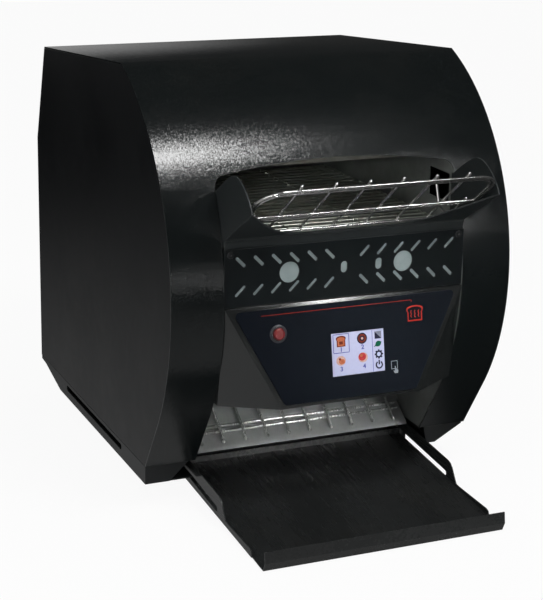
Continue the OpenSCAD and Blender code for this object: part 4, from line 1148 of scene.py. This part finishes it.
@dataclass
class ControlFace:
    """Slanted control box with its glass, display, print and push button; spare is cut off its block."""

    top: Triple = (-170 * MM, 226.2 * MM, 130 * MM)
    low: Triple = (-189 * MM, 124.5 * MM, 76.6 * MM)
    wedge: Pair = (-154 * MM, 123 * MM)
    back: float = -120 * MM
    side: float = 130.5 * MM
    glass: float = 1.6 * MM
    glass_edge: float = 0.45 * MM
    screen_at: Pair = (9.3 * MM, 171 * MM)
    screen_half: Pair = (28.8 * MM, 21.3 * MM)
    screen_back: float = -2.7 * MM
    screen_edge: float = 0.15 * MM
    module_rim: float = 4 * MM
    module_depth: Pair = (-6 * MM, -1.3 * MM)
    module_edge: float = 0.2 * MM
    screen_lift: float = 1.3 * MM
    button_at: Pair = (-76.2 * MM, 198.3 * MM)
    button_radius: float = 6.0 * MM
    bezel_radius: float = 8.5 * MM
    stem_radius: float = 7.4 * MM
    rounding: float = 1.6 * MM
    spare: float = 1 * MM
    ink: float = 0.06 * MM

    def __post_init__(self) -> None:
        """Works out the tilt of the face."""
        self.tilt = math.atan2(self.top[0] - self.low[0], self.top[1] - self.low[1])

    def up(self, z: float) -> float:
        """Returns the distance up the face of a height above the counter."""
        return (z - self.low[1]) / math.cos(self.tilt)

    def on_face(self, x: float = 0.0, y: float = 0.0, lift: float = 0.0) -> Matrix:
        """Returns the place on the face: across, up the face and out of it."""
        return (Matrix.Translation((0, self.low[0], self.low[1]))
                @ Matrix.Rotation(math.pi / 2 - self.tilt, 4, "X") @ Matrix.Translation((x, y, lift)))

    def build(self) -> None:
        """Makes every piece of the controls."""
        self.box()
        soften("control_overlay", "overlay_glass", Finishes.GLASS, self.glass_edge, 3)
        self.display()
        self.print()
        self.button()
        dress(Finishes.BOARD, "control_board")

    def box(self) -> None:
        """Cuts the folded box from a block along its slanted sides and rounds it."""
        shape = Shape()
        bm = shape.bm
        front = min(self.low[0], self.top[0]) - self.spare
        low_z = min(self.wedge[1], self.low[1])
        bmesh.ops.create_cube(bm, size=1.0)
        bmesh.ops.scale(bm, vec=(self.top[2] * 2, self.back - front, self.top[1] - low_z), verts=bm.verts)
        bmesh.ops.translate(bm, vec=(0, (self.back + front) / 2, (self.top[1] + low_z) / 2), verts=bm.verts)
        a = Vector((self.top[2], self.top[0], self.top[1]))
        b = Vector((self.low[2], self.low[0], self.low[1]))
        c = Vector((self.side, self.wedge[0], self.wedge[1]))
        corner = (b - a).cross(c - a).normalized()
        if corner.x < 0:
            corner.negate()
        face = Vector((0, -math.cos(self.tilt), math.sin(self.tilt)))
        under = Vector((0, self.wedge[1] - self.low[1], self.low[0] - self.wedge[0])).normalized()
        if under.z > 0:
            under.negate()
        for point, normal in ((a, face), (b, under), (a, corner),
                              (Vector((-a.x, a.y, a.z)), Vector((-corner.x, corner.y, corner.z)))):
            geom = bm.verts[:] + bm.edges[:] + bm.faces[:]
            bmesh.ops.bisect_plane(bm, geom=geom, plane_co=point, plane_no=normal, clear_outer=True)
            bmesh.ops.holes_fill(bm, edges=[e for e in bm.edges if e.is_boundary], sides=0)
        bmesh.ops.remove_doubles(bm, verts=bm.verts, dist=1e-6)
        bmesh.ops.recalc_face_normals(bm, faces=bm.faces)
        bmesh.ops.bevel(bm, geom=bm.edges[:], offset=self.rounding, segments=3, profile=0.5, affect="EDGES",
                        material=-1, clamp_overlap=True)
        place(shape, "folded_control_box", Finishes.BOX, ("control_box",), 50.0)

    def ring(self, shape: Shape, outer: float, inner: float, at: Matrix, start: float = 0.0, end: float = 360.0,
             steps: int = 28) -> None:
        """Adds a flat ring or an arc of one to a shape.

        Args:
            shape: takes the ring.
            outer: outer radius.
            inner: inner radius.
            at: its place.
            start: first angle in degrees.
            end: last angle in degrees; a full turn is made of plain segments.
            steps: divisions.
        """
        if end - start >= 360.0:
            self.band(shape, circle(outer, steps), circle(inner, steps), at)
            return
        turn = [math.radians(start + (end - start) * k / steps) for k in range(steps + 1)]
        rims = [[(r * math.cos(t), r * math.sin(t)) for t in turn] for r in (outer, inner)]
        shape.prism(rims[0] + rims[1][::-1], 0.0, self.ink, at)

    def band(self, shape: Shape, outer: Sequence[Pair], inner: Sequence[Pair], at: Matrix) -> None:
        """Adds the segments between two closed outlines that have as many points."""
        for k in range(len(outer)):
            shape.prism([outer[k - 1], outer[k], inner[k], inner[k - 1]], 0.0, self.ink, at)

    def bar(self, shape: Shape, width: float, height: float, at: Matrix) -> None:
        """Adds a flat rectangle centred on its place; its sides are in millimetres."""
        shape.prism(rectangle(width * MM / 2, height * MM / 2), 0.0, self.ink, at)

    @staticmethod
    def bread(width: float, height: float) -> list[Pair]:
        """Returns the outline of a bread slice with a domed crown.

        Args:
            width: full width in millimetres.
            height: full height in millimetres.

        Returns:
            Points in metres.
        """
        w, h = width / 2, height / 2
        waist = w * 0.86
        dome = [(w * math.cos(a), h * (0.55 + 0.45 * math.sin(a))) for a in map(math.radians, range(15, 180, 15))]
        return in_mm([(-waist, -h), (waist, -h), (waist, h * 0.15), (w, h * 0.45), *dome, (-w, h * 0.45),
                      (-waist, h * 0.15)])

    def display(self) -> None:
        """Makes the lit display with its plain bakery pictograms and function symbols."""
        x0, y0 = self.screen_at[0], self.up(self.screen_at[1])
        (w, h), rim = self.screen_half, self.module_rim
        middle = self.on_face(x0, y0)
        panel = Shape().prism(rectangle(w, h), self.screen_back, self.screen_lift, middle, self.screen_edge)
        panel.prism(rectangle(w + rim, h + rim), *self.module_depth, middle, self.module_edge)
        place(panel, "display_panel", Finishes.SCREEN, ("touch_screen",))

        def spot(u: float, v: float, layer: int = 0) -> Matrix:
            """Returns a place on the display, in millimetres from its middle."""
            return self.on_face(x0 + u * MM, y0 + v * MM, self.screen_lift + layer * self.ink)

        f = Finishes
        inks = {ink: Shape() for ink in (f.ICON_DARK, f.ICON_BLUE, f.ICON_CRUST, f.ICON_CRUMB, f.ICON_PALE,
                                         f.ICON_RED, f.ICON_GREEN, f.ICON_GREY)}
        blue, dark = inks[f.ICON_BLUE], inks[f.ICON_DARK]
        for u, v, width, height in ((15.9, 0, 0.5, 42.2), (-18.4, 20.3, 17.2, 0.7), (-18.4, 1.7, 17.2, 0.7),
                                    (-9.8, 11, 0.7, 17.4), (-27, 11, 0.7, 17.4)):
            self.bar(blue, width, height, spot(u, v))
        for u, v, start in ((-10.2, 19.9, 0), (-26.6, 19.9, 90), (-26.6, 2.1, 180), (-10.2, 2.1, 270)):
            self.ring(blue, 0.75 * MM, 0.1 * MM, spot(u, v), start, start + 90, 6)
        for ink, u, v, layer, width, height in (
                (f.ICON_CRUST, -18.6, 13.2, 0, 11, 11), (f.ICON_CRUMB, -18.6, 13.0, 1, 8.4, 8.6),
                (f.ICON_CRUST, -18.6, 11.6, 2, 4.6, 3.2)):
            inks[ink].prism(self.bread(width, height), 0, self.ink, spot(u, v, layer))
        for ink, u, v, layer, radius, squash in (
                (f.ICON_DARK, 4.7, 13.8, 0, 5.6, 1.0), (f.ICON_CRUST, 4.7, 13.8, 1, 4.4, 1.0),
                (f.ICON_DARK, 4.7, 13.8, 2, 2.6, 1.0), (f.ICON_PALE, 4.7, 13.8, 3, 1.3, 1.0),
                (f.ICON_PALE, -19.4, -6.2, 0, 5.2, 0.92), (f.ICON_CRUMB, -18.4, -7.2, 1, 3.4, 0.8),
                (f.ICON_CRUST, -20.6, -4.6, 2, 1.2, 1.0), (f.ICON_PALE, 4.9, -5.4, 0, 5.3, 0.95),
                (f.ICON_RED, 4.1, -4.6, 1, 4.2, 0.95), (f.ICON_CRUMB, 3.2, -3.2, 2, 1.6, 1.0)):
            inks[ink].prism(circle(radius * MM, 28, squash), 0.0, self.ink, spot(u, v, layer))
        for u, v, number in ((-18.6, 4.7, "1"), (5.0, 5.0, "2"), (-19.0, -14.8, "3"), (6.2, -14.4, "4")):
            self.numeral(blue, number, 6.2 * MM, spot(u, v))
        fold = rectangle(3.7 * MM, 3.7 * MM)
        inks[f.ICON_GREY].prism(fold[1:], 0, self.ink, spot(22.4, 15.4))
        dark.prism([fold[3], *fold[:2]], 0, self.ink, spot(22.4, 15.4))
        self.leaf(inks[f.ICON_GREEN], spot(22.4, 6.4))
        self.gear(dark, spot(22.6, -4.0))
        self.ring(dark, 4.1 * MM, 2.6 * MM, spot(22.6, -14.8), 120, 420, 26)
        self.bar(dark, 1.5, 4.6, spot(22.6, -12.2, 1))
        for finish, shape in inks.items():
            place(shape, "display_" + finish.name.split()[-1], finish)

    def numeral(self, shape: Shape, text: str, size: float, at: Matrix) -> None:
        """Adds a plain numeral as a flat mesh.

        Args:
            shape: takes the numeral.
            text: the figure.
            size: its height.
            at: its place.
        """
        curve = bpy.data.curves.new("numeral", "FONT")
        curve.body = text
        curve.size = size
        curve.align_x = curve.align_y = "CENTER"
        curve.extrude = self.ink / 2
        curve.offset = size * 0.03
        holder = link("numeral", curve)
        mesh = bpy.data.meshes.new_from_object(holder.evaluated_get(bpy.context.evaluated_depsgraph_get()))
        mesh.transform(at @ Matrix.Translation((0, 0, self.ink / 2)))
        shape.bm.from_mesh(mesh)
        bpy.data.objects.remove(holder)
        bpy.data.curves.remove(curve)
        bpy.data.meshes.remove(mesh)

    def leaf(self, shape: Shape, at: Matrix, steps: int = 12) -> None:
        """Adds a pointed leaf with its stalk.

        Args:
            shape: takes the leaf.
            at: its place.
            steps: divisions of its length.
        """
        top = [(8.4 * k / steps - 4.2, 3.0 * math.sin(math.pi * k / steps)) for k in range(steps + 1)]
        low = [(x, -y * 0.9) for x, y in reversed(top[1:-1])]
        turn = at @ Matrix.Rotation(math.radians(28), 4, "Z")
        shape.prism(in_mm(top + low), 0.0, self.ink, turn)
        self.bar(shape, 1.6, 0.6, turn @ Matrix.Translation((-4.6 * MM, 0, 0)))

    def gear(self, shape: Shape, at: Matrix, teeth: int = 8) -> None:
        """Adds a toothed ring.

        Args:
            shape: takes the ring.
            at: its place.
            teeth: number of teeth.
        """
        self.ring(shape, 3.7 * MM, 2.1 * MM, at, steps=32)
        for k in range(teeth):
            turn = Matrix.Rotation(k * math.tau / teeth, 4, "Z")
            self.bar(shape, 1.5, 1.8, at @ turn @ Matrix.Translation((3.9 * MM, 0, 0)))

    def print(self) -> None:
        """Makes the pinstripe, a plain toast symbol and the touch symbol on the glass."""
        red, grey = Shape(), Shape()

        def spot(x: float, z: float, layer: int = 0) -> Matrix:
            """Returns a place on the glass from its x and height in millimetres."""
            return self.on_face(x * MM, self.up(z * MM), self.glass + layer * self.ink)

        self.bar(red, 163, 0.55, spot(-11.8, 217))
        self.ring(red, 1.3 * MM, 0.75 * MM, spot(69.7, 215.97), -60, 90, 8)
        self.band(red, self.bread(19, 16), self.bread(16.2, 13.2), spot(74, 203.5))
        for k in (-4.2, 0.0, 4.2):
            for step in range(4):
                bow = 1.1 / 3 * (1 if step % 2 else -1)
                wave = in_mm([(-0.5 - bow, 0), (0.5 - bow, 0), (0.5 + bow, 1.8), (-0.5 + bow, 1.8)])
                red.prism(wave, 0, self.ink, spot(74 + k, 199.4 + step * 1.8))
        self.band(grey, rectangle(3.6 * MM, 4.2 * MM), rectangle(3.0 * MM, 3.6 * MM), spot(48.6, 154.5))
        hand = ((-0.6, 3.4), (-0.2, 3.9), (0.3, 3.4), (0.5, 0.6), (2.6, 0.0), (3.1, -0.9), (2.6, -3.6),
                (-0.9, -3.6), (-2.2, -1.2), (-1.9, -0.6), (-0.7, -1.2))
        grey.prism(in_mm(hand), 0, self.ink, spot(49.6, 149.6, 1))
        place(red, "overlay_red_print", Finishes.INK_RED)
        place(grey, "overlay_pale_print", Finishes.INK_GREY)

    def button(self) -> None:
        """Turns the push lens, its bezel and the pale ring."""
        at = self.on_face(self.button_at[0], self.up(self.button_at[1]))
        r, top = self.button_radius, self.glass + 4 * MM
        dome = [(0.985, 1.0), (0.93, 0.45), (0.82, 0.12), (0.7, 0.0), (0.45, 0.05), (0.0, 0.12)]
        lens = [(0, -3.8 * MM), (r, -3.8 * MM), (r, top - 1.6 * MM)]
        lens += [(r * share, top - drop * MM) for share, drop in dome]
        place(Shape().lathe(lens, 48, at), "push_lens", Finishes.RED, ("power_button",), 60.0, Body.BUTTON)
        o, g, stem, inner = self.bezel_radius, self.glass, self.stem_radius, r + 0.05 * MM
        bezel = [(inner, -9 * MM), (stem, -9 * MM), (stem, g), (o, g)]
        bezel += [(o - x * MM, g + z * MM) for x, z in ((0.0, 1.0), (0.3, 1.7), (0.8, 2.0), (1.5, 1.9))]
        bezel += [(inner + 0.2 * MM, g + 1.6 * MM), (inner, g + 1.4 * MM), bezel[0]]
        place(Shape().lathe(bezel, 48, at), "push_bezel", Finishes.BEZEL, ("button_bezel",), 60.0)
        rim = ((-0.05, 0.2), (0.5, 0.2), (0.5, 0.7), (-0.05, 0.9), (-0.05, 0.2))
        ring = [(o + x * MM, g + z * MM) for x, z in rim]
        place(Shape().lathe(ring, 48, at), "push_ring", Finishes.RING, (), 60.0)


@dataclass
class Conveyor:
    """Rod belt with its links, wheels, shafts and drive."""

    pitch: float = 12.7 * MM
    teeth: int = 12
    span: int = 21
    front: float = -125 * MM
    height: float = 260.5 * MM
    rod: float = 1.5 * MM
    half: float = 124 * MM
    rod_share: float = 0.94
    link_x: tuple[float, ...] = (-121.5 * MM, -40 * MM, 40 * MM, 121.5 * MM)
    link_end: float = 1.9 * MM
    link_half: float = 0.45 * MM
    link_offset: float = 0.55 * MM
    waist: float = 0.62

    def stations(self) -> list[Vector]:
        """Returns the rods' middles around the loop, in order.

        Returns:
            One point for each rod.
        """
        radius = self.pitch / 2 / math.sin(math.pi / self.teeth)
        rear = self.front + self.span * self.pitch
        out = [Vector((0, self.front + i * self.pitch, self.height + radius)) for i in range(self.span + 1)]
        for i in range(1, self.teeth // 2):
            a = math.pi / 2 - i * math.tau / self.teeth
            out.append(Vector((0, rear + radius * math.cos(a), self.height + radius * math.sin(a))))
        out += [Vector((0, rear - i * self.pitch, self.height - radius)) for i in range(self.span + 1)]
        for i in range(1, self.teeth // 2):
            a = math.pi * 1.5 - i * math.tau / self.teeth
            out.append(Vector((0, self.front + radius * math.cos(a), self.height + radius * math.sin(a))))
        return out

    def link_plate(self) -> Shape:
        """Cuts one waisted plate that reaches from a rod to the next, along x.

        Returns:
            The plate.
        """
        e, p = self.link_end, self.pitch
        near = [(-e, 0.5), (-e * 0.5, 1.0), (e * 0.6, 1.0), (e * 1.6, self.waist)]
        half = near + [(p - x, wide) for x, wide in reversed(near)]
        outline = [(x, -e * wide) for x, wide in half] + [(x, e * wide) for x, wide in reversed(half)]
        return Shape().prism(outline, -self.link_half, self.link_half)

    def build(self) -> None:
        """Strings the rods on flat links and dresses the drive."""
        rods = self.stations()
        shape, plate = Shape(), self.link_plate()
        across = Vector((self.half, 0, 0))
        for k, at in enumerate(rods):
            shape.wire([at - across, at, at + across], self.rod * self.rod_share, sides=8)
            along = (rods[(k + 1) % len(rods)] - at).normalized()
            offset = self.link_offset if k % 2 else -self.link_offset
            for x in self.link_x:
                shape.drop(plate, Matrix(((0, 0, 1, x + offset), (along.y, -along.z, 0, at.y),
                                          (along.z, along.y, 0, at.z), (0, 0, 0, 1))))
        plate.bm.free()
        place(shape, "rod_belt", Finishes.BELT, ("conveyor_belt",), 50.0)
        dress(Finishes.SHAFT, "drive_shaft", "idler_shaft", "motor_shaft")
        dress(Finishes.WHEEL, "drive_wheels", "idler_wheels", "driven_wheel", "motor_wheel", "drive_chain")
        dress(Finishes.BRONZE, "shaft_bushes")
        dress(Finishes.MOTOR, "gear_motor")
        dress(Finishes.WALL, "motor_bracket")


@dataclass
class Oven:
    """Inner walls, reflectors, tubes, coils and insulation."""

    tube_half: float = 134 * MM
    coil_radius: float = 2.6 * MM
    coil_wire: float = 0.45 * MM
    turns: int = 34
    upper: tuple[float, tuple[float, ...]] = (366 * MM, (-62 * MM, 10 * MM, 82 * MM, 154 * MM))
    lower: tuple[float, tuple[float, ...]] = (262 * MM, (-74 * MM, -20 * MM, 34 * MM, 88 * MM))

    def build(self) -> None:
        """Dresses the oven and winds the coils inside the tubes."""
        dress(Finishes.WALL, "inner_wall_left", "inner_wall_right")
        dress(Finishes.HOT, "upper_reflector", "lower_reflector", "belt_baffle")
        dress(Finishes.QUARTZ, "upper_heaters", "lower_heaters")
        dress(Finishes.CERAMIC, "heater_ends")
        dress(Finishes.WOOL, "insulation_pad")
        shape = Shape()
        for z, row in (self.upper, self.lower):
            for y in row:
                shape.wire(self.coil(y, z), self.coil_wire, sides=6)
        place(shape, "heating_coils", Finishes.COIL, (), 60.0)

    def coil(self, y: float, z: float, steps: int = 8) -> list[Vector]:
        """Returns the line of one coil, with so many points to a turn.

        Args:
            y: depth of the tube's axis.
            z: height of the tube's axis.
            steps: points to a turn.

        Returns:
            The coil's middle line.
        """
        count = self.turns * steps
        return [Vector((self.tube_half * (2 * k / count - 1), y + self.coil_radius * math.cos(k * math.tau / steps),
                        z + self.coil_radius * math.sin(k * math.tau / steps))) for k in range(count + 1)]


@dataclass
class Delivery:
    """Chute, its wire grid, the shield behind it and the sliding tray.

    Long, thin and bead are shares of the wire for the long wires, the cross wires and the welds.
    """

    slope: float = math.radians(33)
    lip: Pair = (-72 * MM, 43.6 * MM)
    wires: int = 10
    pitch: float = 25 * MM
    wire: float = 1.5 * MM
    long: float = 0.97
    thin: float = 0.95
    bead: float = 1.05
    bead_lift: float = 2.85 * MM
    tip_radius: float = 1.95 * MM
    tip_shift: Triple = (0.0, 0.3 * MM, 0.25 * MM)
    tip_y: float = -68.3 * MM
    tip_lift: float = 1.8 * MM
    rise_y: float = -57 * MM
    rise_bend: float = 12 * MM
    lift: float = 4.2 * MM
    end: float = 197 * MM
    cross: tuple[float, ...] = (-56.7 * MM, -50.8 * MM, 30 * MM, 110 * MM, 190 * MM)
    half: float = 123 * MM
    tray_edge: float = 0.35 * MM

    def at(self, x: float, y: float, n: float = 0.0) -> Vector:
        """Returns a point above the chute sheet."""
        return Vector((x, y - n * math.sin(self.slope),
                       self.lip[1] + (y - self.lip[0]) * math.tan(self.slope) + n * math.cos(self.slope)))

    def build(self) -> None:
        """Makes the delivery end."""
        soften("toast_chute", "chute_sheet", Finishes.SLIDE)
        dress(Finishes.WALL, "chute_shield")
        shape = Shape()
        for k in range(self.wires):
            x = (k - (self.wires - 1) / 2) * self.pitch
            tip = self.at(x, self.tip_y, self.tip_lift)
            line = [tip, self.at(x, self.rise_y, self.lift), self.at(x, self.end, self.lift)]
            shape.wire(bend(line, [0, self.rise_bend, 0], steps=5), self.wire * self.long)
            shape.ball(tip + Vector(self.tip_shift), self.tip_radius)
            for y in self.cross:
                shape.ball(self.at(x, y, self.bead_lift), self.wire * self.bead)
        for y in self.cross:
            shape.wire([self.at(x, y, self.wire) for x in (-self.half, 0.0, self.half)], self.wire * self.thin)
        place(shape, "chute_grid", Finishes.SLIDE_WIRE, ("chute_wires",), 60.0)
        soften("collector_tray", "tray_sheet", Finishes.TRAY, self.tray_edge, body=Body.TRAY)
        dress(Finishes.PAN, "tray_guides")


@dataclass
class Electrics:
    """Fan, supply, relays and terminals in the base."""

    def build(self) -> None:
        """Dresses the electrical parts."""
        dress(Finishes.BLACK, "cooling_fan", "fan_rotor")
        dress(Finishes.BRIGHT, "fan_guard")
        dress(Finishes.WALL, "power_supply")
        dress(Finishes.RELAY, "relay_pair")
        dress(Finishes.CREAM, "terminal_block")

# ---------------------------------------------------------------- studio


@dataclass(frozen=True)
class Lamp:
    """A soft rectangular lamp; its spread is in degrees."""

    name: str
    at: Triple
    aim: Triple
    size: Pair
    power: float
    spread: float = 180.0

    def hang(self) -> None:
        """Adds the lamp to the scene."""
        data = bpy.data.lights.new(self.name, "AREA")
        data.shape = "RECTANGLE"
        data.size, data.size_y = self.size
        data.energy = self.power
        data.spread = math.radians(self.spread)
        turn = (Vector(self.aim) - Vector(self.at)).to_track_quat("-Z", "Y").to_matrix().to_4x4()
        link(self.name, data).matrix_world = Matrix.Translation(self.at) @ turn


@dataclass
class Studio:
    """Camera, floor, lamps and world; a glow is two cosines around its way and a level."""

    place: Triple = (-0.70816, -1.58557, 0.70290)
    right: Triple = (0.916719, -0.398979, 0.021204)
    up: Triple = (0.097636, 0.275161, 0.956435)
    back: Triple = (-0.38743, -0.87470, 0.29120)
    lens: float = 100.344
    ambient: float = 0.46
    paint: float = 0.93
    floor_half: float = 4.0
    floor_colour: Triple = (0.88, 0.88, 0.88)
    # painted pool of light on the floor, seen only in reflections: its middle, the distances over which it fades, and
    # its level
    pool_at: Triple = (-0.34, -0.12, 0.0)
    pool: Pair = (0.15, 1.45)
    pool_level: float = 0.38
    # painted shadow of the machine on the floor to its right, seen only in reflections: the x range where it sets in,
    # and its level
    painted_shadow_x: Pair = (0.13, 0.21)
    painted_shadow_level: float = 0.04
    back_way: Triple = (0.0, 0.99, 0.12)
    back_glow: Triple = (0.905, 0.965, 0.5)
    left_way: Triple = (-0.815, -0.357, 0.458)
    left_glow: Triple = (0.5, 0.95, 0.55)
    ceiling: float = 0.035
    lamps: tuple[Lamp, ...] = (
        Lamp("key lamp", (0.15, -0.70, 1.34), (-0.14, -0.125, 0.368), (0.40, 0.20), 7.6),
        Lamp("left fill", (-1.6, -0.9, 1.0), (0.0, 0.0, 0.2), (1.0, 1.0), 6.0),
        Lamp("low sparkle", (0.413, -1.665, 0.184), (-0.15, -0.169, 0.258), (0.08, 0.08), 0.30),
        Lamp("chute light", (0.42, -1.10, 0.47), (0.0, -0.02, 0.085), (0.22, 0.22), 0.10, 12.0),
        Lamp("edge light", (0.52, -0.93, 1.00), (0.0, -0.18, 0.24), (0.20, 0.20), 0.026, 12.0),
        Lamp("feed light", (-0.55, -1.2, 0.62), (0.05, -0.05, 0.31), (0.20, 0.20), 0.045, 14.0))

    def build(self) -> None:
        """Sets up the studio."""
        self.camera()
        self.floor()
        self.world()
        for lamp in self.lamps:
            lamp.hang()
        bpy.context.scene.view_settings.view_transform = "Standard"

    def camera(self) -> None:
        """Places the camera."""
        lens = bpy.data.cameras.new("camera")
        lens.lens = self.lens
        lens.sensor_width = 36.0
        lens.clip_end = 50.0
        holder = link("camera", lens)
        turn = Matrix((self.right, self.up, self.back)).transposed().to_4x4()
        holder.matrix_world = Matrix.Translation(self.place) @ turn
        bpy.context.scene.camera = holder

    @staticmethod
    def any_ray(g: Graph, *kinds: str) -> Socket:
        """Returns 1 for rays of the kinds named.

        Args:
            g: the material's or world's graph.
            kinds: outputs of the Light Path node.

        Returns:
            The mask.
        """
        path = g.add("ShaderNodeLightPath").outputs
        total = path[kinds[0]]
        for kind in kinds[1:]:
            total = g.math("ADD", total, path[kind])
        return g.math("MINIMUM", total, 1.0)

    def floor(self) -> None:
        """Lays a pale floor that keeps a soft shadow; glossy rays see it with a painted pool of light, darker beyond
        it, and a painted shadow of the machine to its right.
        """
        bm = bmesh.new()
        bmesh.ops.create_grid(bm, x_segments=2, y_segments=2, size=self.floor_half)
        mesh = bpy.data.meshes.new("floor")
        bm.to_mesh(mesh)
        bm.free()
        material = bpy.data.materials.new("studio floor")
        g = Graph.start(material)
        plain = g.add("ShaderNodeBsdfDiffuse", {"Color": (*self.floor_colour, 1.0)})
        where = g.add("ShaderNodeTexCoord").outputs["Object"]
        # painted light for reflections only: a painted pool of light around pool_at that fades with distance, and a
        # painted shadow past the machine's right side
        spot = g.vector("DISTANCE", {0: where, 1: self.pool_at}, "Value")
        level = g.add("ShaderNodeMapRange", {0: spot, 1: self.pool[0], 2: self.pool[1], 3: self.pool_level,
                                             4: 0.0}).outputs[0]
        across = g.add("ShaderNodeSeparateXYZ", {0: where}).outputs[0]
        level = g.math("MULTIPLY", level, g.span(across, *self.painted_shadow_x, 1.0, self.painted_shadow_level))
        dim = g.math("MULTIPLY", self.any_ray(g, "Is Glossy Ray"), g.math("SUBTRACT", 1.0, level))
        bright = g.add("ShaderNodeEmission", {"Color": (1, 1, 1, 1), "Strength": g.math("SUBTRACT", 1.0, dim)})
        share = g.math("ADD", self.paint, g.math("MULTIPLY", dim, 1.0 - self.paint))
        seen = self.any_ray(g, "Is Camera Ray", "Is Glossy Ray", "Is Transmission Ray")
        mixed = g.add("ShaderNodeMixShader", {0: g.math("MULTIPLY", seen, share), 1: plain.outputs[0],
                                              2: bright.outputs[0]})
        g.add("ShaderNodeOutputMaterial", {"Surface": mixed.outputs[0]})
        mesh.materials.append(material)
        obj = link("floor", mesh)

    def world(self) -> None:
        """Makes a white horizon that glossy surfaces see as two soft glows under a dim ceiling."""
        world = bpy.data.worlds.new("studio")
        bpy.context.scene.world = world
        g = Graph.start(world)
        way = g.add("ShaderNodeTexCoord").outputs["Generated"]
        gloss: object = self.ceiling
        for axis, (low, high, level) in ((self.back_way, self.back_glow), (self.left_way, self.left_glow)):
            near = g.vector("DOT_PRODUCT", {0: way, 1: axis}, "Value")
            gloss = g.math("ADD", g.span(near, low, high, 0.0, level), gloss)
        glossy = self.any_ray(g, "Is Glossy Ray")
        level = g.math("ADD", g.math("MULTIPLY", glossy, gloss),
                       g.math("MULTIPLY", g.math("SUBTRACT", 1.0, glossy), self.ambient))
        seen = self.any_ray(g, "Is Camera Ray", "Is Transmission Ray")
        level = g.math("ADD", seen, g.math("MULTIPLY", g.math("SUBTRACT", 1.0, seen), level))
        shade = g.add("ShaderNodeBackground", {"Color": (1.0, 1.0, 1.0, 1.0), "Strength": level})
        g.add("ShaderNodeOutputWorld", {"Surface": shade.outputs[0]})


def main() -> None:
    """Builds the machine and the studio."""
    logging.basicConfig(level=logging.INFO, format="%(message)s")
    for assembly in (Studio(), Housing(), Feed(), ControlFace(), Conveyor(), Oven(), Delivery(), Electrics()):
        LOG.info("-- %s", type(assembly).__name__)
        assembly.build()
    bpy.context.view_layer.update()


if __name__ == "__main__":
    main()
